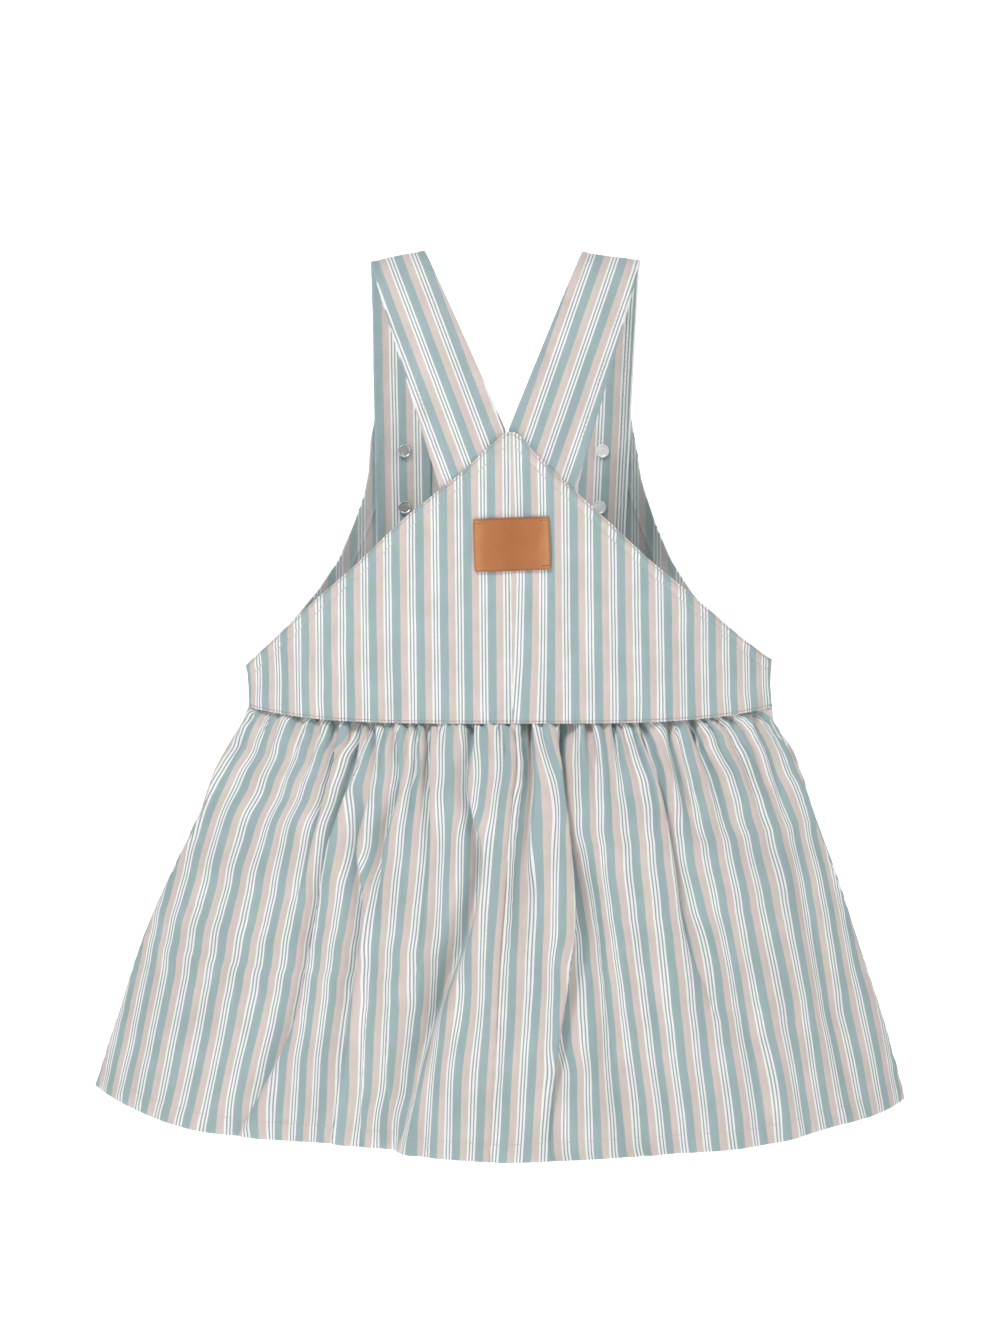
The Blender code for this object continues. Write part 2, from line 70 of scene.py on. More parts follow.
STRIPE_REPEAT = 0.0144      # peach, a white band with two hairlines, teal
WALE_ACROSS, WALE_ALONG = 0.00095, 0.00115
SIDE_DEPTH = 0.0003         # how far each side seam stands off the middle plane of the dress
THREAD_LIFT = 0.00005       # the middle of a thread lies this far above the cloth
OUTWARD = {-1: np.array([0.0, -1.0, 0.0]), 1: np.array([0.0, 1.0, 0.0])}


def curve(x, xs, ys):
    """A smooth line through a short table, level beyond its ends."""
    x, xs, ys = np.asarray(x, float), np.asarray(xs, float), np.asarray(ys, float)
    slope = np.gradient(ys, xs)
    i = np.clip(np.searchsorted(xs, x) - 1, 0, len(xs) - 2)
    gap = xs[i + 1] - xs[i]
    t = np.clip((x - xs[i]) / gap, 0.0, 1.0)
    start = (1 + 2 * t) * (1 - t) ** 2 * ys[i] + t * (1 - t) ** 2 * gap * slope[i]
    return start + t * t * (3 - 2 * t) * ys[i + 1] + t * t * (t - 1) * gap * slope[i + 1]


def waves(x, z, seed, size, count=7):
    """Soft uneven waves over a surface, between about -1 and 1, with a given size in metres."""
    chance = np.random.default_rng(seed)
    total = np.zeros(np.broadcast(x, z).shape)
    for _ in range(count):
        turn = chance.uniform(0, math.pi)
        pitch = size * chance.uniform(0.7, 1.6)
        phase = chance.uniform(0, 2 * math.pi)
        total += np.sin((np.cos(turn) * x + np.sin(turn) * z) * 2 * math.pi / pitch + phase)
    return total / math.sqrt(count * 1.4)


def ripple(run, pitch, wander, rate, phase=0.0):
    """Small uneven waves along a run of cloth."""
    return np.sin(run * 2 * math.pi / pitch + wander * np.sin(run * rate + phase))


def fade(distance, width):
    """1 on a line, dying out over a width beside it."""
    return np.exp(-(distance / width) ** 2)


def rounding(share, edge):
    return (1.0 - np.clip(np.abs(share), 0.0, 1.0) ** SECTION_FLATNESS) ** (1.0 / edge)


def figure_depth(face, level, clearance=0.0):
    column = "depth_back" if face < 0 else "depth_front"
    full = np.interp(level, FIGURE["level"], FIGURE[column]) - clearance
    drop = np.clip(-np.asarray(level, float) / SHOULDER_DROP, 0.0, 1.0)
    return full * np.sqrt(1.0 - (1.0 - drop) ** 2)


def figure_half_width(x, level):
    left = np.interp(level, FIGURE["level"], FIGURE["half_left"])
    right = np.interp(level, FIGURE["level"], FIGURE["half_right"])
    return np.where(np.asarray(x) < 0, left, right)


def on_bodice(face, x, level, clearance=0.0):
    half = figure_half_width(x, level)
    y = figure_depth(face, level, clearance) * rounding(x / half, BODICE_EDGE)
    return np.stack(np.broadcast_arrays(x, face * np.maximum(y, SIDE_DEPTH), level), axis=-1)


def bodice_girth(face, x, level):
    """Distance along the bodice's section from its middle to x, signed as x is."""
    steps = np.linspace(0.0, 1.0, 90)
    x, level = np.broadcast_arrays(np.asarray(x, float), np.asarray(level, float))
    along = x[..., None] * steps
    y = on_bodice(face, along, np.broadcast_to(level[..., None], along.shape))[..., 1]
    return np.sign(x) * np.sum(np.hypot(np.diff(along, axis=-1), np.diff(y, axis=-1)), axis=-1)


def waist_level(share):
    return WAIST_LEVEL + WAIST_RISE * np.abs(share) ** 4


def grid_normals(points, outward):
    normals = np.cross(np.gradient(points, axis=1), np.gradient(points, axis=0))
    normals /= np.linalg.norm(normals, axis=2, keepdims=True) + 1e-12
    return normals if np.sum(normals * outward) > 0 else -normals


def edge_distance(x, z, line):
    """Distance of points of the back or front view from a line of points."""
    flat = np.stack([np.ravel(x), np.ravel(z)], axis=1)
    nearest = np.full(len(flat), 1.0)
    for a, b in zip(line[:-1], line[1:]):
        run = b - a
        t = np.clip(((flat - a) @ run) / max(run @ run, 1e-12), 0.0, 1.0)
        nearest = np.minimum(nearest, np.linalg.norm(flat - a - t[:, None] * run, axis=1))
    return nearest.reshape(np.shape(x))


def new_mesh(name, points, faces, materials):
    mesh = bpy.data.meshes.new(name)
    mesh.from_pydata(np.asarray(points).tolist(), [], faces)
    for material in materials:
        mesh.materials.append(material)
    mesh.shade_smooth()
    thing = bpy.data.objects.new(name, mesh)
    bpy.context.collection.objects.link(thing)
    return thing


def cloth_shell(name, points, cloth, outward, thickness, right_side, wrong_side, rim=2):
    """A sheet of cloth with a rounded edge all round. cloth holds each point's place in the flat cloth."""
    rows, columns = points.shape[:2]
    normals = grid_normals(points, outward)
    half = thickness / 2
    index = np.arange(rows * columns).reshape(rows, columns)
    ring = np.concatenate([index[0, :-1], index[:-1, -1], index[-1, :0:-1], index[:0:-1, 0]])
    flat, flat_normals, flat_cloth = points.reshape(-1, 3), normals.reshape(-1, 3), cloth.reshape(-1, 2)
    r, c = np.clip(ring // columns, 1, rows - 2), np.clip(ring % columns, 1, columns - 2)
    away = flat[ring] - points[r, c]
    away -= np.sum(away * flat_normals[ring], axis=1, keepdims=True) * flat_normals[ring]
    away /= np.linalg.norm(away, axis=1, keepdims=True) + 1e-12
    layers = [flat + flat_normals * half, flat - flat_normals * half]
    levels = [ring]
    count = 2 * len(flat)
    for k in range(1, rim + 1):
        turn = math.pi * k / (rim + 1)
        layers.append(flat[ring] + (flat_normals[ring] * math.cos(turn) + away * math.sin(turn)) * half)
        levels.append(count + np.arange(len(ring)))
        count += len(ring)
    levels.append(ring + len(flat))
    a, b, d, e = index[:-1, :-1], index[:-1, 1:], index[1:, :-1], index[1:, 1:]
    outer = np.stack([a, d, e, b], axis=-1).reshape(-1, 4)
    faces = [outer, outer[:, ::-1] + len(flat)]
    for low, high in zip(levels[:-1], levels[1:]):
        faces.append(np.stack([low, np.roll(low, -1), np.roll(high, -1), high], axis=-1))
    faces = np.concatenate(faces)
    thing = new_mesh(name, np.concatenate(layers), faces.tolist(), [right_side, wrong_side])
    mesh = thing.data
    slots = np.zeros(len(faces), dtype=np.int32)
    slots[len(outer):2 * len(outer)] = 1
    mesh.polygons.foreach_set("material_index", slots)
    places = np.concatenate([flat_cloth, flat_cloth] + [flat_cloth[ring]] * rim)
    corners = np.zeros(len(mesh.loops), dtype=np.int32)
    mesh.loops.foreach_get("vertex_index", corners)
    layer = mesh.uv_layers.new(name="cloth")
    layer.data.foreach_set("uv", places[corners].astype(np.float32).ravel())
    down, across = points[1, 0] - points[0, 0], points[0, 1] - points[0, 0]
    if np.dot(np.cross(down, across), normals[0, 0]) < 0:
        mesh.flip_normals()
    mesh.update()
    return thing


def srgb(red, green, blue):
    return tuple(((v / 255 + 0.055) / 1.055) ** 2.4 for v in (red, green, blue)) + (1.0,)


def add_node(tree, kind, settings=(), **values):
    node = tree.nodes.new(kind)
    for key, value in settings:
        setattr(node, key, value)
    for key, value in values.items():
        socket = node.inputs[int(key[1:])] if key[0] == "i" and key[1:].isdigit() else node.inputs[key]
        if isinstance(value, bpy.types.NodeSocket):
            tree.links.new(value, socket)
        else:
            socket.default_value = value
    return node


def math_node(tree, operation, *values):
    return add_node(tree, "ShaderNodeMath", (("operation", operation),),
                    **{"i%d" % i: v for i, v in enumerate(values)}).outputs[0]


def noise(tree, vector, scale, detail, flat=False, **more):
    settings = (("noise_dimensions", "2D"),) if flat else ()
    return add_node(tree, "ShaderNodeTexNoise", settings, Vector=vector, Scale=scale, Detail=detail,
                    **more).outputs[0]


def stretched(tree, vector, x, y):
    return add_node(tree, "ShaderNodeVectorMath", (("operation", "MULTIPLY"),), i0=vector,
                    i1=(x, y, 1.0)).outputs[0]


def mix_colour(tree, share, first, second, blend="MIX"):
    return add_node(tree, "ShaderNodeMix", (("data_type", "RGBA"), ("blend_type", blend)), i0=share, i6=first,
                    i7=second).outputs[2]


def new_material(name, **values):
    """A material, its tree and its shader. Values are set on the shader's sockets, _ for a space."""
    material = bpy.data.materials.new(name)
    material.use_nodes = True
    shader = material.node_tree.nodes["Principled BSDF"]
    for key, value in values.items():
        shader.inputs[key.replace("_", " ")].default_value = value
    return material, material.node_tree, shader


def link_bump(tree, shader, strength, distance, height):
    bump = add_node(tree, "ShaderNodeBump", Strength=strength, Distance=distance, Height=height)
    tree.links.new(bump.outputs[0], shader.inputs["Normal"])


def striped_twill_group():
    """Woven stripes and twill: a colour and a height from a place in the flat cloth, in metres."""
    tree = bpy.data.node_groups.new("striped twill", "ShaderNodeTree")
    for name, kind in (("Cloth", "NodeSocketVector"), ("Start", "NodeSocketFloat"),
                       ("Wrong side", "NodeSocketFloat")):
        tree.interface.new_socket(name, in_out="INPUT", socket_type=kind)
    for name, kind in (("Color", "NodeSocketColor"), ("Height", "NodeSocketFloat")):
        tree.interface.new_socket(name, in_out="OUTPUT", socket_type=kind)
    given = tree.nodes.new("NodeGroupInput").outputs
    cloth = given["Cloth"]
    apart = add_node(tree, "ShaderNodeSeparateXYZ", i0=cloth).outputs
    across, along = apart[0], apart[1]
    place = math_node(tree, "FRACT", math_node(tree, "MULTIPLY_ADD", across, 1 / STRIPE_REPEAT, given["Start"]))
    ramp = tree.nodes.new("ShaderNodeValToRGB")
    tree.links.new(place, ramp.inputs[0])
    peach, white = srgb(213, 201, 195), srgb(242, 244, 244)
    teal, hair = srgb(160, 181, 184), srgb(158, 168, 171)
    bands = ((0.0, peach), (0.30, white), (0.380, hair), (0.435, white), (0.515, hair), (0.570, white),
             (0.645, teal), (1.0, peach))
    blur = 0.010
    stops = ramp.color_ramp.elements
    stops[0].position, stops[0].color = 0.0, teal
    stops[1].position, stops[1].color = 1.0, teal
    previous = teal
    for band_start, colour in bands[:-1]:
        for position, shade in ((band_start + 0.0001, previous), (band_start + blur, colour)):
            stop = stops.new(position)
            stop.color = shade
        previous = colour
    wale = math_node(tree, "SINE", math_node(tree, "MULTIPLY_ADD", across, 2 * math.pi / WALE_ACROSS,
                                             math_node(tree, "MULTIPLY", along, 2 * math.pi / WALE_ALONG)))
    warp = noise(tree, stretched(tree, cloth, 1700.0, 110.0), 1.0, 2.0, True)
    weft = noise(tree, stretched(tree, cloth, 160.0, 1500.0), 1.0, 2.0, True)
    broad = noise(tree, cloth, 24.0, 2.0, True)
    uneven = noise(tree, stretched(tree, cloth, 75.0, 42.0), 1.0, 3.0, True)
    contrast = math_node(tree, "MULTIPLY_ADD", given["Wrong side"], 0.085, 0.030)
    light = math_node(tree, "MULTIPLY_ADD", wale, contrast, math_node(tree, "MULTIPLY_ADD", uneven, 0.24, 0.78))
    for part, strength in ((warp, 0.09), (weft, 0.05), (broad, 0.06)):
        light = math_node(tree, "MULTIPLY_ADD", part, strength, light)
    woven = add_node(tree, "ShaderNodeHueSaturation", Value=light, Color=ramp.outputs[0]).outputs[0]
    patches = add_node(tree, "ShaderNodeMapRange", i0=noise(tree, cloth, 85.0, 1.0, True), i1=0.32,
                       i2=0.68).outputs[0]
    tint = mix_colour(tree, patches, (1.035, 0.995, 1.030, 1.0), (0.975, 1.004, 0.958, 1.0))
    woven = mix_colour(tree, 1.0, woven, tint, "MULTIPLY")
    dulling = math_node(tree, "MULTIPLY", given["Wrong side"], 0.42)
    dulled = mix_colour(tree, dulling, woven, srgb(176, 186, 188))
    height = math_node(tree, "MULTIPLY_ADD", wale, 0.35, math_node(tree, "MULTIPLY_ADD", warp, 0.6, weft))
    result = tree.nodes.new("NodeGroupOutput").inputs
    tree.links.new(dulled, result["Color"])
    tree.links.new(height, result["Height"])
    return tree


STRIPED_TWILL = striped_twill_group()


def striped_twill(name, start, wrong=False, turned=False):
    """Twill with its stripes starting at a share of the repeat; turned for the cloth's mirrored underside."""
    material, tree, shader = new_material(name, Roughness=0.86, Specular_IOR_Level=0.22, Sheen_Weight=0.18,
                                          Sheen_Roughness=0.45)
    cloth = add_node(tree, "ShaderNodeUVMap", (("uv_map", "cloth"),)).outputs[0]
    if turned:
        cloth = add_node(tree, "ShaderNodeMapping", Vector=cloth, Scale=(-1.0, 1.0, 1.0)).outputs[0]
    group = add_node(tree, "ShaderNodeGroup", (("node_tree", STRIPED_TWILL),), Cloth=cloth, Start=start)
    group.inputs["Wrong side"].default_value = 1.0 if wrong else 0.0
    tree.links.new(group.outputs["Color"], shader.inputs["Base Color"])
    link_bump(tree, shader, 0.55, 0.00022, group.outputs["Height"])
    return material


stitch_lines = []           # every line of topstitching, as points in the order that it is sewn
thread_and_shade_lines = []             # the warm line along the edges and seams: part thread, part painted shade of the seam's gap


def grid_point(points, normals, row, column, lift):
    """Points at fractional rows and columns of a grid, lifted off its outer face."""
    row, column = np.broadcast_arrays(np.asarray(row, float), np.asarray(column, float))
    r = np.clip(np.floor(row).astype(int), 0, points.shape[0] - 2)
    c = np.clip(np.floor(column).astype(int), 0, points.shape[1] - 2)
    f, g = (row - r)[:, None], (column - c)[:, None]

    def mix(values):
        return ((values[r, c] * (1 - g) + values[r, c + 1] * g) * (1 - f)
                + (values[r + 1, c] * (1 - g) + values[r + 1, c + 1] * g) * f)
    return mix(points) + mix(normals) * lift


def crossing(values, target):
    """Fractional index at which each column of values passes a target, its rows rising or falling."""
    rising = values[-1] > values[0]
    found = []
    for c in range(values.shape[1]):
        line = values[:, c] if rising[c] else values[::-1, c]
        place = np.interp(target, line, np.arange(len(line)))
        found.append(place if rising[c] else len(line) - 1 - place)
    return np.array(found)


PATCH_CENTRE = (0.0029, -0.1807)    # the cloth lies flatter under the leather patch


def back_bodice(name, side, edge, start, seed):
    columns, rows = 120, 96
    spread = np.linspace(0.0, 1.0, columns) ** 0.92
    seam_top, seam_waist = BODICE_SEAM
    x_top = seam_top + (side * edge["out"][-1] - seam_top) * spread
    top = np.interp(side * x_top, edge["out"], edge["level"])
    half_waist = figure_half_width(x_top, WAIST_LEVEL)
    x_waist = seam_waist + (side * half_waist - seam_waist) * spread
    bottom = waist_level(x_waist / half_waist) + 0.0006
    share_top = x_top / figure_half_width(x_top, top)
    share_waist = x_waist / half_waist
    f = 1.0 - (1.0 - np.linspace(0.0, 1.0, rows)) ** 1.25
    f = f[:, None]
    level = bottom + (top - bottom) * f
    share = share_waist + (share_top - share_waist) * f
    x = share * figure_half_width(share, level)
    points = on_bodice(-1, x, level)
    points[:, -1, 1] = -SIDE_DEPTH
    across = bodice_girth(-1, x, level)
    seam_x = seam_top + (seam_waist - seam_top) * (1 - f)
    across = across - bodice_girth(-1, seam_x + 0 * x, level)
    if side > 0:
        drift = np.interp(level, (-0.2888, -0.2500, -0.2030, -0.1100), (0.0030, 0.0, -0.0018, 0.0))
        across = across + drift * np.clip(1 - across / 0.030, 0.0, 1.0)
    cloth = np.stack([across, level + 0 * x], axis=-1)
    normals = grid_normals(points, OUTWARD[-1])
    line = np.stack([x[-1], (level + 0 * x)[-1]], axis=1)
    inward = edge_distance(x, level + 0 * x, line)
    from_seam = np.abs(across)
    above_waist = level + 0 * x - bottom
    soft = waves(x, level * 0.45, seed, 0.060) * 0.0011 + waves(x, level, seed + 1, 0.030) * 0.00035
    pucker = ripple(level, 0.0095, 2.2, 160) * 0.00028
    push = soft * np.clip(from_seam / 0.03, 0.25, 1.0) * np.clip(above_waist / 0.012, 0.35, 1.0)
    push += pucker * fade(from_seam, 0.006)
    push -= 0.0008 * fade(from_seam, 0.0011)
    push -= 0.00035 * fade(inward - ARMHOLE_HEM, 0.0009)
    run = x + 1.1 * level
    push += 0.0003 * ripple(run, 0.0085, 2, 140) * fade(inward, 0.006)
    gather = ripple(across, 0.0125, 2.5, 90, seed) * 0.00055
    push += gather * np.exp(-above_waist / 0.011)
    patch_away = np.maximum(np.abs(x - PATCH_CENTRE[0]) - 0.024, np.abs(level - PATCH_CENTRE[1]) - 0.017)
    push *= np.clip(patch_away / 0.012, 0.15, 1.0)
    points = points + normals * push[..., None]
    points[:, -1] -= normals[:, -1] * push[:, -1, None]
    normals = grid_normals(points, OUTWARD[-1])
    lift = BODICE_CLOTH / 2 + THREAD_LIFT
    every = np.arange(columns)
    hem_row = crossing(inward, ARMHOLE_HEM)
    valid = (hem_row > 1) & (hem_row < rows - 2)
    stitch_lines.append(grid_point(points, normals, hem_row[valid], every[valid], lift))
    waist_row = crossing(above_waist, EDGE_LINE_INSET)
    thread_and_shade_lines.append(grid_point(points, normals, waist_row, every, lift))
    edge_row = crossing(inward, EDGE_LINE_INSET)
    valid = (edge_row > 1) & (edge_row < rows - 1)
    thread_and_shade_lines.append(grid_point(points, normals, edge_row[valid], every[valid], lift))
    if side < 0:
        seam_column = crossing(-across.T, SEAM_STITCH)
        stitch_lines.append(grid_point(points, normals, np.arange(rows), seam_column, lift)[1:-4])
    piece = cloth_shell(name + "_cloth", points, cloth, OUTWARD[-1], BODICE_CLOTH,
                        striped_twill(name + " twill", start),
                        striped_twill(name + " facing", start, wrong=True))
    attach(piece, "root")
    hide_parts(name)


back_bodice("back_bodice_left", -1, BACK_EDGE_LEFT, 0.69, 11)
back_bodice("back_bodice_right", 1, BACK_EDGE_RIGHT, 0.225, 23)


# ---------------------------------------------------------------- front bib
# The front bodice, one piece of the same twill with its facing, a dipped top edge and curved armholes.
# From behind its wrong side shows between the straps and the back. All its free edges are turned and
# topstitched.
BIB_EDGE_LEFT = {
    "out":   (0.0816, 0.0850, 0.0862, 0.0888, 0.0955, 0.1048, 0.1170, 0.1292, 0.1433, 0.1595),
    "level": (-0.0958, -0.1133, -0.1330, -0.1466, -0.1661, -0.1881, -0.2065, -0.2220, -0.2390, -0.2530),
}
BIB_EDGE_RIGHT = {
    "out":   (0.0772, 0.0816, 0.0836, 0.0865, 0.0923, 0.1023, 0.1155, 0.1290, 0.1450, 0.1615),
    "level": (-0.0970, -0.1221, -0.1366, -0.1467, -0.1642, -0.1881, -0.2094, -0.2250, -0.2390, -0.2497),
}
NECK_DIP = 0.024
BIB_HEM = 0.0085
BIB_FREE = 0.82             # the share of the bib's rows that lies above the side seams


def bib_end(drop, edge, half):
    """One end of each of the bib's rows, from its top edge to the waist seam: how far out, and its level."""
    foot = waist_level(1.0) - 0.0004
    level = np.interp(drop, (0.0, BIB_FREE, 1.0), (edge["level"][0], edge["level"][-1], foot))
    out = np.interp(-level, [-z for z in edge["level"]], edge["out"])
    return np.where(drop > BIB_FREE, np.interp(level, FIGURE["level"], FIGURE[half]), out), level


def front_bib():
    rows, columns = 96, 170
    drop = np.linspace(0.0, 1.0, rows)[:, None]
    left, low_left = bib_end(drop, BIB_EDGE_LEFT, "half_left")
    right, low_right = bib_end(drop, BIB_EDGE_RIGHT, "half_right")
    dip = NECK_DIP * np.clip(1 - drop / BIB_FREE, 0.0, 1.0)
    below = np.clip((drop - BIB_FREE) / (1 - BIB_FREE), 0.0, 1.0)
    share = np.sin(np.linspace(-math.pi / 2, math.pi / 2, columns) * 0.86) / math.sin(math.pi / 2 * 0.86)
    x = np.where(share < 0, left * share, right * share)
    level = (low_left + low_right) / 2 + (low_right - low_left) / 2 * share - dip * (1 - share ** 4)
    level = level + (waist_level(share) - waist_level(1.0)) * below
    points = on_bodice(1, x, level)
    points[below[:, 0] > 0, 0, 1] = points[below[:, 0] > 0, -1, 1] = SIDE_DEPTH
    across = bodice_girth(1, x, level)
    normals = grid_normals(points, OUTWARD[1])
    free = below[:, 0] <= 0
    rim = np.concatenate([np.stack([x[free, 0], level[free, 0]], 1)[::-1],
                          np.stack([x[0], level[0]], 1)[1:-1],
                          np.stack([x[free, -1], level[free, -1]], 1)])
    inward = edge_distance(x, level, rim)
    above_waist = level - waist_level(share)
    push = waves(x, level * 0.5, 31, 0.055) * 0.0013 + waves(x, level, 32, 0.028) * 0.0003
    push *= np.clip(inward / 0.012, 0.3, 1.0)
    push -= 0.0004 * fade(inward - BIB_HEM, 0.0009)
    run = x * 1.1 - level * np.sign(x)
    push += 0.0003 * ripple(run, 0.0088, 2, 130) * fade(inward, 0.008)
    gather = ripple(across, 0.0130, 2.5, 85) * 0.0006
    push += gather * np.exp(-np.clip(above_waist, 0, 1) / 0.011)
    points = points + normals * push[..., None]
    normals = grid_normals(points, OUTWARD[1])
    lift = BODICE_CLOTH / 2 + THREAD_LIFT
    for face in (lift, -lift):
        side_rows = np.arange(rows)[free][2:]
        for half in (slice(0, columns // 2), slice(columns - 1, columns // 2, -1)):
            strip = np.arange(columns)[half]
            hem = crossing(inward[side_rows][:, strip].T, BIB_HEM)
            place = strip[0] + (strip[1] - strip[0]) * hem
            stitch_lines.append(grid_point(points, normals, side_rows, place, face))
        top_row = crossing(inward[:20], BIB_HEM)[6:-6]
        stitch_lines.append(grid_point(points, normals, top_row, np.arange(columns)[6:-6], face))
    waist_row = crossing(above_waist, EDGE_LINE_INSET)
    thread_and_shade_lines.append(grid_point(points, normals, waist_row, np.arange(columns), lift))
    cloth = np.stack([-across, level], axis=-1)
    piece = cloth_shell("front_bib_cloth", points, cloth, OUTWARD[1], BODICE_CLOTH,
                        striped_twill("bib twill", 0.10), striped_twill("bib facing", 0.10, wrong=True))
    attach(piece, "root")
    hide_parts("front_bib")


front_bib()


# ---------------------------------------------------------------- straps
# Two self-lined straps of the same twill, 33 mm wide over the shoulders and wider where they are sewn
# under the point of the back. They fold over the shoulders and snap to the inside of the bib. Both long
# edges are topstitched.
STRAP_CLOTH = 0.0020
STRAP_CLEARANCE = 0.0028
STRAP_STITCH = 0.0042
STRAP_BACK_END = (0.1540, 0.1195)
STRAP_FRONT_END = 0.1920
STRAPS = {      # each pair runs from the outer edge to the inner
    "left":  {"side": -1, "fold": (0.0830, 0.0510), "outer_level": -0.0062, "back_run": (-0.3070, -0.4420),
              "front_run": (-0.0110, -0.0180), "start": 0.825, "under_start": 0.825},
    "right": {"side": 1, "fold": (0.0812, 0.0468), "outer_level": -0.0058, "back_run": (-0.2830, -0.4050),
              "front_run": (-0.0480, -0.0400), "start": 0.295, "under_start": 0.555},
}


def between(pair, share):
    return pair[0] + (pair[1] - pair[0]) * share


def strap(label, cut):
    side = cut["side"]
    columns, back_rows, front_rows = 25, 90, 90
    share = np.linspace(0.0, 1.0, columns)
    fold_level = cut["outer_level"] * (1 - share)
    fold_out = between(cut["fold"], share)
    runs = {-1: between(cut["back_run"], share), 1: between(cut["front_run"], share)}
    back_end = between(STRAP_BACK_END, share)
    grid = []
    for face, ends in ((-1, np.linspace(1.0, 0.0, back_rows)), (1, np.linspace(0.0, 1.0, front_rows)[1:])):
        for f in ends:
            drop = (back_end if face < 0 else STRAP_FRONT_END + 0 * share) * f ** 2
            out = np.maximum(fold_out + runs[face] * drop, 0.0012)
            x, level = side * out, fold_level - drop
            depth = figure_depth(face, -drop, STRAP_CLEARANCE) * rounding(
                x / figure_half_width(x, level), BODICE_EDGE)
            grid.append(np.stack([x, face * depth, level], axis=-1))
    points = np.array(grid)
    outward = np.sign(np.where(np.abs(points[:, :, 1:2]) < 1e-9, -1e-9, points[:, :, 1:2])) * (0.0, 1.0, 0.0)
    normals = grid_normals(points, outward)
    middle = points[:, columns // 2]
    steps = np.linalg.norm(np.gradient(middle, axis=0), axis=1)
    along = np.cumsum(steps)
    tangent = np.gradient(middle, axis=0)
    tangent /= np.linalg.norm(tangent, axis=1, keepdims=True)
    offset = points - middle[:, None]
    sideways = offset - np.sum(offset * tangent[:, None], axis=2, keepdims=True) * tangent[:, None]
    across = np.sign(share - 0.5) * np.linalg.norm(sideways, axis=2) * -side
    lengthways = along[:, None] - np.sum(offset * tangent[:, None], axis=2)
    seed = 41 if side < 0 else 43
    push = waves(across * 1.2, lengthways, seed, 0.050) * 0.00045
    edge = np.minimum(share, 1 - share) * 0.033
    push += 0.00022 * ripple(lengthways, 0.0085, 2, 150) * fade(edge, 0.004)
    push -= 0.0003 * fade(edge - STRAP_STITCH, 0.0010)
    push += 0.0004 * (1 - (2 * share - 1) ** 2)
    points = points + normals * push[..., None]
    normals = grid_normals(points, outward)
    cloth = np.stack([across, lengthways], axis=-1)
    width = np.abs(across[:, 0] - across[:, -1])
    visible = np.arange(len(points))[10:-6]
    for column in (STRAP_STITCH / width * (columns - 1), (1 - STRAP_STITCH / width) * (columns - 1)):
        for face in (1, -1):
            lift = face * (STRAP_CLOTH / 2 + THREAD_LIFT)
            stitch_lines.append(grid_point(points, normals, visible, column[visible], lift))
    piece = cloth_shell("strap_%s_cloth" % label, points, cloth, outward, STRAP_CLOTH,
                        striped_twill("strap %s twill" % label, cut["start"]),
                        striped_twill("strap %s underside" % label, cut["under_start"]), rim=3)
    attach(piece, "root")
    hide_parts("strap_" + label)


for label, cut in STRAPS.items():
    strap(label, cut)


# ---------------------------------------------------------------- skirt
# The skirt: two gathered back widths with a centre-back seam and one gathered front width, single twill,
# cut a little wider at the hem than at the waist. The cloth is taken up in narrow folds under the waist
# seam that run out, wander and open on the way down. The hem is turned up 10 mm and stitched.
SKIRT_CLOTH = 0.0008
SKIRT = {
    "down":       (0.00, 0.05, 0.10, 0.16, 0.28, 0.42, 0.60, 0.80, 1.00),
    "half_left":  (0.1580, 0.1630, 0.1700, 0.1780, 0.1885, 0.2040, 0.2225, 0.2380, 0.2525),
    "half_right": (0.1625, 0.1650, 0.1722, 0.1790, 0.1890, 0.2015, 0.2160, 0.2315, 0.2440),
    "depth":      (0.0380, 0.0420, 0.0460, 0.0500, 0.0550, 0.0600, 0.0660, 0.0720, 0.0770),
    "edge":       (1.20, 1.12, 1.06, 1.03, 1.03, 1.06, 1.20, 1.40, 1.60),
}
SKIRT_FLATNESS = 2.2
HEM_LEFT = {
    "out":   (0.00, 0.25, 0.50, 0.775, 0.87, 0.94, 1.00),
    "level": (-0.5490, -0.5450, -0.5377, -0.5317, -0.5246, -0.5180, -0.5110),
}
HEM_RIGHT = {
    "out":   (0.00, 0.37, 0.685, 0.805, 0.92, 1.00),
    "level": (-0.5490, -0.5451, -0.5391, -0.5321, -0.5264, -0.5195),
}
BACK_SEAM = {
    "down":  (0.00, 0.05, 0.12, 0.18, 0.235, 0.29, 0.40, 0.54, 0.75, 1.00),
    "share": (0.0297, 0.0349, 0.0353, 0.0213, 0.0125, 0.0054, -0.0060, -0.0180, -0.0275, -0.0385),
}
SKIRT_HEM = 0.010
SKIRT_SEAM_STITCH = 0.009
SKIRT_LENGTH = 0.250        # about, along the cloth
SKIRT_ROWS = 96
SKIRT_DOWNS = np.linspace(0.0, 1.0, SKIRT_ROWS) ** 1.2      # from the waist seam (0) to the hem (1)
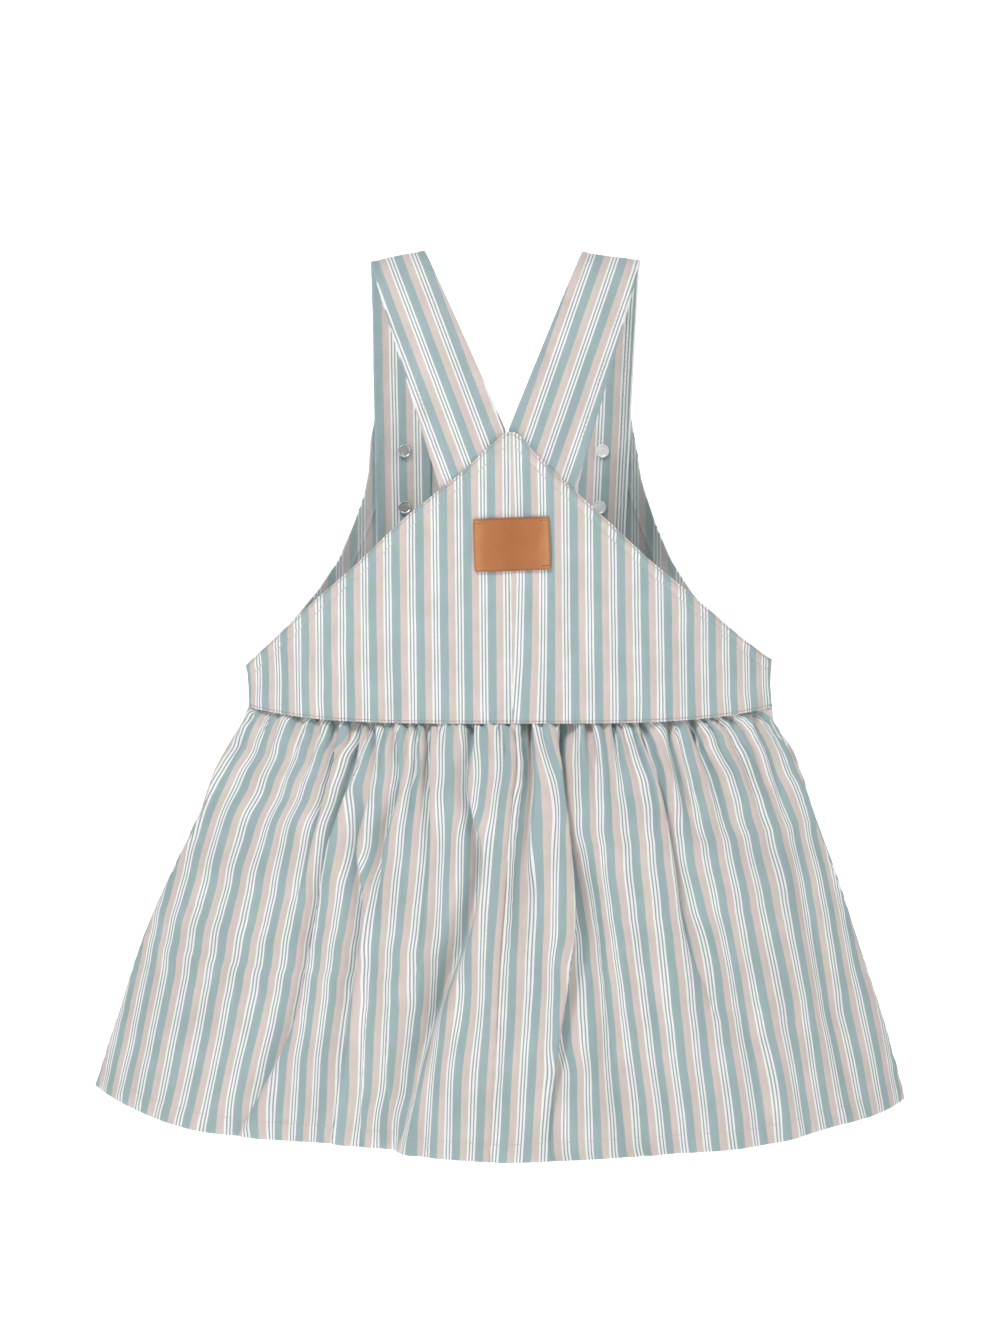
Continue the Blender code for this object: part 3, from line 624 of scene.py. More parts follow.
# Folds at six heights between the seam (0) and the hem (1): place as a share of the way from the centre
# to a side seam, width of cloth hidden in mm, half breadth in mm, and how far the fold leans to the right.
# A row with fewer than six numbers goes on at its last one.
FOLD_HEIGHTS = (0.0, 0.15, 0.30, 0.45, 0.70, 1.0)
BACK_FOLDS_LEFT = (
    ((-0.93, -0.92), (1.9, 0), (1.8, 4, 6, 8), 0.2),
    ((-0.87, -0.84, -0.81, -0.8), (1.9, 0), (1.8, 4, 6, 8), 0.3),
    ((-0.79, -0.78), (1.1, 0), (1.8, 4, 6, 8), 0.3),
    ((-0.72, -0.69), (2.3, 0), (1.8, 4, 6, 8), 0.3),
    ((-0.63, -0.6, -0.61, -0.6, -0.6, -0.59), (6.7, 6.3, 3.1, 0), (2, 3, 3.5, 6, 8, 10), 0.6),
    ((-0.54, -0.52, -0.545, -0.53, -0.525, -0.61), (17, 18.1, 7.9, 9.9, 7.4, 1.4), (2.2, 3, 3, 3.4, 5, 9), 0.8),
    ((-0.49, -0.45, -0.462, -0.405, -0.405, -0.41), (8.6, 2.7, 6.3, 7.7, 5.9), (1.8, 3, 4, 3.5, 6, 10), 0.4),
    ((-0.43, -0.362, -0.385, -0.36, -0.35), (3.3, 4.2, 7.4, 0.8, 0.8, 3.3), (1.8, 3, 3.5, 5, 8, 12), 0.4),
    ((-0.34, -0.31, -0.3), (3.9, 2.1, 0.9, 0.4, 0.7, 2.3), (1.8, 3, 6, 8, 8, 12), 0.3),
    ((-0.28, -0.255, -0.243, -0.24), (6.7, 6.8, 3.6, 1.6, 0.5, 0), (1.8, 2.6, 4, 6, 8, 12), 0.6),
    ((-0.18, -0.19), (0.5, 0, 1.7, 1.7, 1.6, 2), (1.8, 4, 6, 8), 0),
    ((-0.12, -0.137, -0.085, -0.1, -0.195, -0.27), (6.3, 8.7, 11.1, 13.3, 12.1, 10.4),
     (2, 3, 4.5, 5.5, 9, 15), 0.4),
)
BACK_FOLDS_RIGHT = (
    ((0.085, 0.078, 0.055, 0.05, 0.045), (15.8, 9, 6.9, 3.3, 0), (2.4, 3, 4, 8), 0.3),
    ((0.19, 0.185, 0.195, 0.19, 0.145, 0.1), (14, 24.1, 17.7, 10.8, 7.8, 0), (2.2, 3, 3.4, 4.2, 7, 10), -0.9),
    ((0.24, 0.24, 0.245, 0.25, 0.25, 0.27), (3, 0.1, 0.2, 7.5, 5.9, 0), (1.8, 4, 5, 5, 8, 10), 0.2),
    ((0.29, 0.295, 0.3), (5.2, 0, 0.2, 2.3, 5.9, 0), (1.8, 4, 6, 8, 9, 10), 0),
    ((0.385, 0.38), (5, 0, 0.2, 0.4, 2.3, 0.3), (1.8, 4, 6, 8), 0.2),
    ((0.47, 0.5, 0.505, 0.505, 0.53, 0.54), (8.3, 6.2, 6.9, 3.9, 0, 0.1), (2, 3, 3.6, 5, 7, 10), -0.6),
    ((0.59, 0.58, 0.6), (3.9, 6.4, 0, 0.2, 1, 0.7), (1.8, 3, 6, 8, 9, 10), 0.3),
    ((0.68, 0.7), (8.7, 2.5, 0, 0, 0, 0.7), (1.8, 3, 6, 8), 0.3),
    ((0.82, 0.85, 0.81, 0.79, 0.76, 0.75), (2.1, 0, 0, 0, 0, 0.3), (1.8, 3, 6, 7, 9, 10), 0.3),
    ((0.93, 0.92, 0.9, 0.88, 0.84, 0.83), (2.7, 1.6, 0, 1.2, 0.7, 0), (1.8, 4, 6, 8, 9, 10), 0),
)

# How far the woven stripes run off the even lie of the cloth, in mm: one row for each of these heights, and
# one number for each place, both as above
DRIFT_HEIGHTS = (0, 0.05, 0.1, 0.15, 0.2, 0.26, 0.32, 0.38, 0.44, 0.5, 0.56, 0.62, 0.68, 0.74, 0.8, 0.86, 0.93,
                 1)
DRIFT_LEFT = {
    "place": (-1, -0.9, -0.8, -0.7, -0.61, -0.52, -0.44, -0.36, -0.28, -0.2, -0.12, -0.03),
    "mm": (
        (2.0, 2.1, 1.5, 0.1, -2.4, -3.1, -0.4, -0.9, -0.5, -0.6, 0.5, -0.0),
        (0.1, 1.7, 0.4, -0.2, -1.4, -4.6, 0.1, -0.9, -0.0, -0.3, -1.2, -0.7),
        (-1.6, -0.3, -0.7, -0.3, 4.3, -1.7, 0.2, -0.9, 0.4, 0.8, -2.1, -0.3),
        (-1.1, -0.1, -1.6, -0.1, 2.4, 0.3, -2.3, -1.7, -0.7, -0.5, -4.6, -1.5),
        (-0.0, -1.6, -4.8, -2.8, -0.8, -1.7, -5.0, -3.2, -2.6, -3.3, -6.7, -3.3),
        (1.6, 0.4, -2.9, -0.9, 1.0, -0.3, -3.8, -2.5, -2.4, -4.0, -1.9, -3.6),
        (2.6, 1.2, -2.6, -2.1, -0.3, 2.1, -3.0, -2.1, -2.1, -2.8, -0.4, -2.6),
        (1.7, 0.5, -2.4, -3.9, -2.9, 0.4, -1.0, -1.4, -2.2, -2.2, -0.2, -2.0),
        (-0.2, -0.4, -3.6, -5.7, -5.2, -3.4, -2.3, -2.4, -1.8, -2.6, 0.0, -1.1),
        (0.0, 1.4, -1.7, -5.3, -4.7, -3.9, -1.9, -4.0, -2.7, -3.3, -2.6, -1.5),
        (3.5, 6.3, 3.3, -1.1, -1.4, -1.0, 2.9, -1.4, 0.9, -0.6, -4.1, -1.4),
        (6.7, 9.3, 7.0, 2.9, 1.7, 2.7, 7.6, 2.7, 4.8, 1.2, -5.0, -0.8),
        (4.7, 4.9, 4.2, 0.9, -1.4, 0.4, 4.9, 1.0, 1.9, -1.5, -3.1, -0.0),
        (1.4, 0.3, -0.6, -3.0, -5.2, -4.5, 1.2, -2.8, -2.4, -3.9, -0.9, -0.1),
        (-2.1, -3.3, -4.1, -5.7, -7.0, -6.5, -1.8, -6.2, -5.1, -3.3, 0.2, -0.4),
        (-2.2, -4.6, -4.7, -5.3, -5.8, -7.7, -3.6, -7.1, -5.3, -2.4, 0.2, -0.2),
        (1.1, -1.0, -1.8, -1.5, -1.8, -5.5, -2.6, -3.8, -0.2, -2.4, -0.9, -0.3),
        (4.5, 5.1, 4.3, 5.2, 1.0, -1.4, 2.9, 2.7, 2.1, -2.9, -1.2, 0.1),
    ),
}
DRIFT_RIGHT = {
    "place": (0.02, 0.08, 0.15, 0.22, 0.3, 0.38, 0.47, 0.56, 0.65, 0.75, 0.87, 1),
    "mm": (
        (0.0, 0.4, 0.4, 0.5, -1.3, -1.5, 0.1, -1.4, -2.6, -1.6, -1.0, -0.6),
        (-0.0, 0.5, 1.6, 0.9, -2.1, -0.3, 2.8, -1.2, -0.2, 1.6, -0.6, 0.6),
        (-0.1, -0.3, 0.7, 0.3, -1.1, 2.0, 3.4, -0.2, 1.3, 2.7, 0.2, 1.5),
        (0.0, -0.6, -2.4, -1.2, -0.5, 1.9, 0.4, 0.5, 0.8, 0.2, 1.7, 2.2),
        (1.0, -0.9, -5.0, -1.7, -0.0, 0.5, -1.2, 0.2, 0.1, -0.2, -0.4, -0.8),
        (0.8, -3.4, -6.3, -0.2, 2.2, 0.8, 0.5, 1.6, 1.1, 2.6, -1.2, -0.1),
        (0.0, -5.8, -6.6, -3.3, 1.7, 0.3, 0.2, 1.3, 0.8, 1.6, -2.6, 1.1),
        (-0.7, -6.8, -5.5, -4.7, 1.1, -0.3, -1.0, 0.1, 0.0, 0.1, -5.5, 0.4),
        (-0.9, -5.7, -4.1, -4.7, 0.5, -0.2, -0.9, -0.6, 0.1, -0.5, -5.4, 0.1),
        (-1.0, -4.7, -3.2, -4.4, 1.2, 1.1, 0.1, -1.4, 1.9, 0.7, -2.1, 2.4),
        (-0.8, -4.1, 0.6, -2.1, 2.4, 2.7, 1.5, -0.5, 4.0, 1.8, 1.6, 5.2),
        (-0.8, -3.0, 1.6, -1.5, 2.5, 3.3, 1.9, 0.9, 4.4, 1.6, 3.0, 5.2),
        (-0.7, -1.3, 2.4, -1.0, 2.2, 2.4, 1.8, 1.6, 3.3, 0.3, 2.4, 2.7),
        (-0.8, -0.5, 0.7, -1.1, 0.3, 0.5, 0.2, 0.2, 0.3, -1.1, 1.2, -1.8),
        (-0.9, -1.1, -4.1, -1.0, -1.7, -1.2, -1.0, -2.0, -3.4, -2.8, -2.2, -3.6),
        (-0.4, -0.4, -2.3, -0.2, -2.7, -2.0, -1.5, -3.0, -5.4, -3.1, -4.1, -4.9),
        (-0.4, 0.0, -1.0, -0.2, -2.4, -2.1, -1.2, -3.4, -5.5, -3.5, -3.9, -5.0),
        (-0.1, -0.3, -0.7, 0.5, -0.5, -0.3, 0.7, -2.1, -3.0, -2.9, -1.9, -3.4),
    ),
}


def skirt_quarter(down, side):
    half = float(curve(down, SKIRT["down"], SKIRT["half_left" if side < 0 else "half_right"]))
    depth = float(curve(down, SKIRT["down"], SKIRT["depth"]))
    edge = float(curve(down, SKIRT["down"], SKIRT["edge"]))
    turn = np.linspace(0.0, math.pi / 2, 500)
    x = half * np.sin(turn) ** (2 / SKIRT_FLATNESS)
    y = depth * np.clip(np.cos(turn), 0.0, 1.0) ** (2 / edge)
    return x, y, np.concatenate([[0.0], np.cumsum(np.hypot(np.diff(x), np.diff(y)))])


def skirt_ring(down):
    """Half of the skirt's section from the left side seam to the right: distance from its middle, x, y."""
    xl, yl, sl = skirt_quarter(down, -1)
    xr, yr, sr = skirt_quarter(down, 1)
    return (np.concatenate([-sl[::-1], sr[1:]]), np.concatenate([-xl[::-1], xr[1:]]),
            np.concatenate([yl[::-1], yr[1:]]))


FOLD_STEEPNESS = np.linspace(0.0, 14.0, 120)
bell_place = np.linspace(-4.0, 4.0, 1600)
bell_slope = -2 * bell_place * np.exp(-bell_place ** 2)
FOLD_EXTRA = np.array([np.sum(np.hypot(1.0, k * bell_slope) - 1.0) * (bell_place[1] - bell_place[0])
                       for k in FOLD_STEEPNESS])    # cloth taken up by a fold, over its half breadth


def at_height(down, values):
    """A row of a fold table at a height between the seam and the hem."""
    return float(curve(down, FOLD_HEIGHTS, values + values[-1:] * (len(FOLD_HEIGHTS) - len(values))))


def folded_row(down, start, end, folds, count, seed):
    """One row of the skirt between two places of its section, its folds taken up: points and cloth across."""
    s_all, x_all, y_all = skirt_ring(down)
    s = np.linspace(start, end, 1800)
    x, y = np.interp(s, s_all, x_all), np.interp(s, s_all, y_all)
    smooth = np.ones(15) / 15
    tx, ty = np.gradient(x, s), np.gradient(y, s)
    tx = np.convolve(np.pad(tx, 7, mode="edge"), smooth, "valid")
    ty = np.convolve(np.pad(ty, 7, mode="edge"), smooth, "valid")
    size = np.hypot(tx, ty)
    tx, ty = tx / size, ty / size
    inward, sideways = np.zeros_like(s), np.zeros_like(s)
    for place, hidden, breadth, lean in folds:
        q = at_height(down, place)
        middle = q * (-s_all[0] if q < 0 else s_all[-1])
        half = at_height(down, breadth) / 1000
        taken = max(at_height(down, hidden), 0.0) / 1000
        reach = float(np.interp(taken / half, FOLD_EXTRA, FOLD_STEEPNESS)) * half
        aside = reach * math.sin(lean * 1.1)
        back = math.copysign(min(0.9 * abs(aside), 1.8 * half), aside)
        bell = np.exp(-((s - middle + back) / half) ** 2)
        inward += reach * math.cos(lean * 1.1) * bell
        if lean:        # the cloth that runs under the overlapping side dips towards it
            under = np.clip((middle - s) * math.copysign(1.0, lean) / (2.0 * half + 0.005), 0.0, None)
            inward += min(0.45 * reach * abs(lean), 0.0050) * np.exp(-under ** 2) * (under > 0)
        sideways += aside * bell
    gather = 0.0007 * math.exp(-down / 0.05) * ripple(s, 0.0062, 2.6, 210, seed)
    roll = waves(s, down * 0.25 + 0 * s, seed, 0.075) * 0.0016 * min(down / 0.2, 1.0)
    inward = inward + gather + roll
    ends = np.clip(np.minimum(s - start, end - s) / 0.005, 0.0, 1.0)
    ends = ends * ends * (3 - 2 * ends)
    inward, sideways = inward * ends, sideways * ends
    px, py = x + tx * sideways + ty * inward, y + ty * sideways - tx * inward
    taken_up = np.concatenate([[0.0], np.cumsum(np.hypot(np.diff(px), np.diff(py)))])
    even = np.linspace(0.0, taken_up[-1], count)
    unfolded = np.interp(even, taken_up, s)
    share = unfolded / np.where(unfolded < 0, -s_all[0], s_all[-1])
    return np.interp(even, taken_up, px), np.interp(even, taken_up, py), even, share


def curve_rows(height, heights, rows):
    """A smooth blend between rows of values given at some heights."""
    rows = np.array(rows)
    weights = np.array([float(curve(height, heights, np.eye(len(heights))[k])) for k in range(len(heights))])
    return weights @ rows


def skirt_width(face, ends, folds, columns, seed, drift=None):
    """A width of the skirt. ends gives its two edges at a height, as distances along the section."""
    grid, cloth, downs = [], [], SKIRT_DOWNS[:, None]
    for down in SKIRT_DOWNS:
        first, last = ends(down)
        x, y, across, place = folded_row(down, first, last, folds, columns, seed)
        if drift is not None:
            rows_of_drift = [np.interp(place, drift["place"], row) for row in drift["mm"]]
            across = across + curve_rows(down, DRIFT_HEIGHTS, rows_of_drift) / 1000
        half = np.where(x < 0, skirt_quarter(down, -1)[0][-1], skirt_quarter(down, 1)[0][-1])
        share = np.clip(np.abs(x) / half, 0.0, 1.0)
        hem = np.where(x < 0, curve(share, HEM_LEFT["out"], HEM_LEFT["level"]),
                       curve(share, HEM_RIGHT["out"], HEM_RIGHT["level"]))
        top = waist_level(share) + 0.0022
        level = top + (hem - top) * down
        tuck = 0.0016 * max(1 - down / 0.02, 0.0)
        grid.append(np.stack([x, face * np.maximum(y - tuck, SIDE_DEPTH), level], axis=-1))
        cloth.append(np.stack([across, level], axis=-1))
    points, cloth = np.array(grid), np.array(cloth)
    normals = grid_normals(points, OUTWARD[face])
    above_hem = (1 - downs) * SKIRT_LENGTH
    across = cloth[..., 0]
    step = 0.00035 * (1 / (1 + np.exp((above_hem - SKIRT_HEM) / 0.0004)))
    step = step - 0.0003 * fade(above_hem - SKIRT_HEM, 0.0008)
    pucker = 0.00035 * ripple(across, 0.009, 2, 120, seed) * fade(above_hem, 0.009)
    push = step + pucker + waves(across, cloth[..., 1] * 0.5, seed + 5, 0.045) * 0.0004 * np.clip(
        downs / 0.1, 0.0, 1.0)
    crease = np.abs(np.sin(across * math.pi / 0.0130 + 1.8 * np.sin(across * 75 + seed))) ** 0.7
    push = push - 0.0030 * (1 - crease) * fade(downs, 0.17 + 0.09 * np.sin(across * 160))
    for near in (across - across[:, :1], across[:, -1:] - across):
        push = push - 0.0007 * fade(near, 0.0012)
        push = push + 0.0003 * ripple(cloth[..., 1], 0.0105, 2, 130) * fade(near - 0.004, 0.004)
    points = points + normals * push[..., None]
    return points, grid_normals(points, OUTWARD[face]), cloth


def finish_width(name, points, cloth, face, start):
    piece = cloth_shell(name + "_cloth", points, cloth, OUTWARD[face], SKIRT_CLOTH,
                        striped_twill(name + " twill", start),
                        striped_twill(name + " wrong side", start, wrong=True))
    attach(piece, "root")
    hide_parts(name)


def seam_place(down):
    share = float(curve(down, BACK_SEAM["down"], BACK_SEAM["share"]))
    ring = skirt_ring(down)[0]
    return share * (-ring[0] if share < 0 else ring[-1])


def hem_stitches(points, normals):
    row = np.interp(1 - SKIRT_HEM / SKIRT_LENGTH, SKIRT_DOWNS, np.arange(SKIRT_ROWS))
    columns = np.arange(points.shape[1])
    stitch_lines.append(grid_point(points, normals, row + 0 * columns, columns, SKIRT_CLOTH / 2 + THREAD_LIFT))


back_left = skirt_width(-1, lambda d: (skirt_ring(d)[0][0], seam_place(d)),
                        BACK_FOLDS_LEFT, 250, 51, DRIFT_LEFT)
back_left[2][..., 0] -= back_left[2][:, -1:, 0]
finish_width("back_skirt_left", back_left[0], back_left[2], -1, 0.30)
hem_stitches(*back_left[:2])
beside_seam = crossing(back_left[2][..., 0].T, -SKIRT_SEAM_STITCH)
stitch_lines.append(grid_point(back_left[0], back_left[1], np.arange(SKIRT_ROWS), beside_seam,
                               SKIRT_CLOTH / 2 + THREAD_LIFT)[3:])
# the warm line in the centre-back seam itself: painted shade of the seam's gap, drawn as a thread
thread_and_shade_lines.append((back_left[0] + back_left[1] * (SKIRT_CLOTH / 2 + 0.0003))[2:, -1])

back_right = skirt_width(-1, lambda d: (seam_place(d), skirt_ring(d)[0][-1]),
                         BACK_FOLDS_RIGHT, 250, 61, DRIFT_RIGHT)
finish_width("back_skirt_right", back_right[0], back_right[2], -1, 0.30)
hem_stitches(*back_right[:2])

FRONT_FOLDS = (
    ((-0.91, -0.9, -0.89, -0.88), (4, 2, 1, 0.5), (1.8, 4, 6, 8, 9, 10), 0),
    ((-0.83, -0.82, -0.82, -0.81, -0.8, -0.79), (7, 7, 6, 5, 3, 1.5), (2, 3, 4, 5, 8, 12), -0.5),
    ((-0.74, -0.73), (5, 1.5, 0.5, 0), (1.8, 4, 6, 8), 0),
    ((-0.66, -0.67, -0.68, -0.69, -0.7, -0.71), (6, 5, 3, 1, 0.5), (1.8, 3, 5, 8, 9, 10), 0.3),
    ((-0.56, -0.57, -0.58, -0.58, -0.6, -0.62), (8, 9, 9, 8, 6, 3), (2, 3, 4, 5, 8, 13), -0.6),
    ((-0.47, -0.46), (5, 1.5, 0.5, 0), (1.8, 4, 6, 8), 0),
    ((-0.4, -0.41, -0.42), (7, 7, 4, 1.5, 0.5), (1.8, 3, 4, 7, 9, 10), 0.5),
    ((-0.27, -0.28, -0.29, -0.31, -0.33, -0.36), (9, 11, 12, 11, 8, 5), (2.2, 3, 3.5, 5, 8, 15), -0.7),
    ((-0.2, -0.19), (4, 1.2, 0.3, 0), (1.8, 4, 6, 8), 0),
    ((-0.12, -0.11, -0.12), (6, 6, 3, 1, 0.5), (1.8, 3, 5, 8, 9, 10), 0.4),
    ((-0.04, -0.03), (4, 1.2, 0.3, 0), (1.8, 4, 6, 8), 0),
    ((0.05, 0.05, 0.05, 0.04, 0.04, 0.03), (8, 9, 9, 8, 5, 2.5), (2, 3, 4, 5, 8, 12), 0.5),
    ((0.14,), (5, 1.5, 0.5, 0), (1.8, 4, 6, 8), 0),
    ((0.21, 0.2, 0.2, 0.2, 0.21, 0.22), (7, 7, 4, 1.5, 1), (1.8, 3, 4, 7, 9, 10), -0.4),
    ((0.33, 0.34, 0.35, 0.36, 0.38, 0.41), (9, 12, 13, 12, 9, 5), (2.2, 3, 3.5, 5, 8, 15), 0.7),
    ((0.42,), (4, 1.2, 0.3, 0), (1.8, 4, 6, 8), 0),
    ((0.49, 0.48, 0.49, 0.49, 0.5), (6, 5, 3, 1, 0.5), (1.8, 3, 5, 8, 9, 10), 0.3),
    ((0.61, 0.62, 0.62, 0.64, 0.66, 0.68), (8, 8, 8, 6, 4, 2.5), (2, 3, 4, 5, 8, 12), 0.6),
    ((0.71, 0.7), (5, 1.5, 0.5, 0), (1.8, 4, 6, 8), 0),
    ((0.8, 0.8, 0.8, 0.81, 0.81, 0.82), (6, 6, 5, 3, 2, 1), (1.8, 3, 4, 6, 9, 11), -0.3),
    ((0.91, 0.9, 0.89, 0.88), (4, 2, 1, 0.5), (1.8, 4, 6, 8, 9, 10), 0),
)
front = skirt_width(1, lambda d: (skirt_ring(d)[0][0], skirt_ring(d)[0][-1]), FRONT_FOLDS, 400, 71)
front[2][..., 0] = -(front[2][..., 0] - front[2][:, -1:, 0] / 2)
finish_width("front_skirt", front[0], front[2], 1, 0.10)
hem_stitches(*front[:2])


# ---------------------------------------------------------------- pocket edge
# The turned edge of the pocket let into the right side seam, a narrow folded strip of the same twill that
# stands a little proud of the seam.
POCKET_CLOTH = 0.0014
POCKET_WIDTH = 0.007        # folded


def pocket_edge():
    points, normals = front[:2]
    rows = np.linspace(4.5, 25.5, 34)       # the rows and columns of the front skirt that it lies on
    columns = points.shape[1] - 1 - np.linspace(0.4, 5.4, 9)
    grid = np.array([grid_point(points, normals, row + 0 * columns, columns, 0.0013) for row in rows])
    bulge = 0.0006 * np.sin(np.linspace(0, math.pi, len(rows)))[:, None, None]
    grid = grid + np.array([1.0, 0.0, 0.0]) * bulge
    across = np.linspace(0.0, POCKET_WIDTH, len(columns)) + 0 * rows[:, None]
    cloth = np.stack([across, grid[..., 2]], axis=-1)
    piece = cloth_shell("pocket_edge_right_cloth", grid, cloth, OUTWARD[1], POCKET_CLOTH,
                        striped_twill("pocket edge twill", 0.02),
                        striped_twill("pocket edge inside", 0.02, wrong=True), rim=3)
    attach(piece, "root")
    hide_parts("pocket_edge_right")


pocket_edge()


# ---------------------------------------------------------------- leather patch
# A bare patch of smooth tan leather, 45 by 31 mm, laid across the centre-back seam and caught down by a
# few stitches at its corners. Its edges are cut and burnished and its short ends have lifted a little.
PATCH_SIZE = (0.0450, 0.0309)
PATCH_TILT = math.radians(2.0)
PATCH_THICKNESS = 0.0014
PATCH_BURNISH = 0.0009      # the width of its darkened rim


def tan_leather():
    material, tree, shader = new_material("tan leather", Specular_IOR_Level=0.42)
    place = add_node(tree, "ShaderNodeUVMap", (("uv_map", "cloth"),)).outputs[0]
    apart = add_node(tree, "ShaderNodeSeparateXYZ", i0=place).outputs
    ends = math_node(tree, "ABSOLUTE", apart[0])
    sides = math_node(tree, "ABSOLUTE", apart[1])
    cloud = noise(tree, place, 85.0, 4.0, Roughness=0.6)
    fine = noise(tree, place, 900.0, 5.0, Roughness=0.65)
    pores = add_node(tree, "ShaderNodeTexVoronoi", Vector=place, Scale=1500.0).outputs[0]
    # the leather is made paler towards both short ends, with a cloud of uneven tone
    paler_to_ends = math_node(tree, "MULTIPLY_ADD", cloud, 0.35, math_node(tree, "MULTIPLY", ends, 34.0))
    ramp = tree.nodes.new("ShaderNodeValToRGB")
    tree.links.new(paler_to_ends, ramp.inputs[0])
    stops = ramp.color_ramp.elements
    stops[0].position, stops[0].color = 0.12, srgb(172, 105, 60)
    stops[1].position, stops[1].color = 1.0, srgb(204, 146, 98)
    stop = stops.new(0.72)
    stop.color = srgb(182, 116, 70)
    burnished = math_node(tree, "MAXIMUM", math_node(tree, "SUBTRACT", ends, PATCH_SIZE[0] / 2 - PATCH_BURNISH),
                          math_node(tree, "SUBTRACT", sides, PATCH_SIZE[1] / 2 - PATCH_BURNISH))
    burnished = add_node(tree, "ShaderNodeMapRange", i0=burnished, i1=0.0, i2=PATCH_BURNISH, i3=0.0,
                         i4=0.35).outputs[0]
    edged = mix_colour(tree, burnished, ramp.outputs[0], srgb(112, 62, 34))
    value = math_node(tree, "MULTIPLY_ADD", fine, 0.30, 0.85)
    tinted = add_node(tree, "ShaderNodeHueSaturation", Value=value, Color=edged)
    tree.links.new(tinted.outputs[0], shader.inputs["Base Color"])
    link_bump(tree, shader, 0.35, 0.00025, math_node(tree, "MULTIPLY_ADD", pores, 0.5, fine))
    rough = math_node(tree, "MULTIPLY_ADD", fine, 0.22, 0.36)
    tree.links.new(rough, shader.inputs["Roughness"])
    return material


def patch_place(u, v, lift):
    """A point over the bodice for a place on the patch, lifted off the cloth."""
    x = PATCH_CENTRE[0] + u * math.cos(PATCH_TILT) - v * math.sin(PATCH_TILT)
    z = PATCH_CENTRE[1] + u * math.sin(PATCH_TILT) + v * math.cos(PATCH_TILT)
    return on_bodice(-1, x, z) + np.stack([0 * u, -lift, 0 * u], axis=-1)


def leather_patch():
    width, height = PATCH_SIZE
    u, v = np.meshgrid(np.linspace(-width / 2, width / 2, 64), np.linspace(height / 2, -height / 2, 44))
    bow = 0.0003 * np.cos(v / height * math.pi)
    x_shape = u * (1 - 0.010 * (v / height * 2) ** 2)
    v_shape = v * (1 - 0.012 * (u / width * 2) ** 2)
    lifted_ends = 0.0009 * np.clip(np.abs(u) / width * 2 - 0.75, 0, 1) ** 1.5
    lift = BODICE_CLOTH / 2 + 0.00035 + PATCH_THICKNESS / 2 + lifted_ends
    lift = lift + bow + 0.00018 * waves(u, v, 81, 0.022)
    points = patch_place(x_shape, v_shape, lift)
    leather = tan_leather()
    piece = cloth_shell("leather_patch_face", points, np.stack([u, v], axis=-1), OUTWARD[-1],
                        PATCH_THICKNESS, leather, leather, rim=4)
    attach(piece, "root")
    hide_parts("leather_patch")


leather_patch()


# ---------------------------------------------------------------- snaps
# Four snaps of satin nickel, two to each strap, each with a flat round cap with a low rolled rim on the
# strap's underside and a domed cap on the outside of the bib. They are clenched through the cloth.
SNAPS = {
    "left_upper": (-0.0647, -0.1190), "left_lower": (-0.0647, -0.1548),
    "right_upper": (0.0605, -0.1190), "right_lower": (0.0586, -0.1548),
}
SNAP_RADIUS = 0.00425
SNAP_SIDES = 32
# distance from the axis as a share of the radius, and height over the cloth in metres
INNER_PROFILE = ((0.0, 0.00115), (0.30, 0.00115), (0.58, 0.00110), (0.68, 0.00100), (0.74, 0.00112),
                 (0.82, 0.00138), (0.90, 0.00142), (0.97, 0.00122), (1.0, 0.00085), (0.98, 0.00035),
                 (0.90, 0.0))
OUTER_PROFILE = ((0.0, 0.00160), (0.25, 0.00157), (0.50, 0.00145), (0.72, 0.00124), (0.88, 0.00094),
                 (0.97, 0.00060), (1.0, 0.00030), (0.96, 0.0))


def satin_nickel(name, dark, bright, metallic):
    """Nickel plate in two copies of one finish: the right strap's caps get a whiter, less metallic copy, a
    painted reflection that stands in for the bright glare they show, and the left ones a darker copy.
    """
    material, tree, shader = new_material(name, Metallic=metallic)
    place = add_node(tree, "ShaderNodeTexCoord").outputs["Object"]
    fine, cloud = noise(tree, place, 2600.0, 3.0), noise(tree, place, 420.0, 3.0)
    tree.links.new(mix_colour(tree, cloud, srgb(*dark), srgb(*bright)), shader.inputs["Base Color"])
    tree.links.new(math_node(tree, "MULTIPLY_ADD", fine, 0.22, 0.24), shader.inputs["Roughness"])
    link_bump(tree, shader, 0.15, 0.00008, fine)
    return material


# The right caps' copy is painted whiter and less metallic: a painted reflection, not a different metal.
NICKEL = {"left": satin_nickel("satin nickel", (186, 187, 188), (216, 216, 215), 0.85),
          "right": satin_nickel("nickel with painted reflection", (232, 232, 231), (246, 246, 245), 0.20)}


def snap_cap(name, node, centre, normal, profile, metal):
    normal = normal / np.linalg.norm(normal)
    across = np.cross(normal, (0.0, 0.0, 1.0))
    across /= np.linalg.norm(across)
    up = np.cross(across, normal)
    turns = np.arange(SNAP_SIDES) * 2 * math.pi / SNAP_SIDES
    points, faces = [centre + normal * profile[0][1]], []
    for radius, height in profile[1:]:
        for turn in turns:
            points.append(centre + (across * math.cos(turn) + up * math.sin(turn)) * SNAP_RADIUS * radius
                          + normal * height)
    points.append(centre)
    rings, last = len(profile) - 1, len(points) - 1
    for k in range(SNAP_SIDES):
        n = (k + 1) % SNAP_SIDES
        faces.append((0, 1 + n, 1 + k))
        for ring in range(rings - 1):
            a, b = 1 + ring * SNAP_SIDES + k, 1 + ring * SNAP_SIDES + n
            faces.append((a, b, b + SNAP_SIDES, a + SNAP_SIDES))
        faces.append((last, 1 + (rings - 1) * SNAP_SIDES + k, 1 + (rings - 1) * SNAP_SIDES + n))
    thing = new_mesh(name, points, faces, [metal])
    if thing.data.polygons[0].normal.dot(Vector(normal.tolist())) < 0:
        thing.data.flip_normals()
    thing.data.set_sharp_from_angle(angle=math.radians(60))
    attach(thing, "root")
    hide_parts(node)


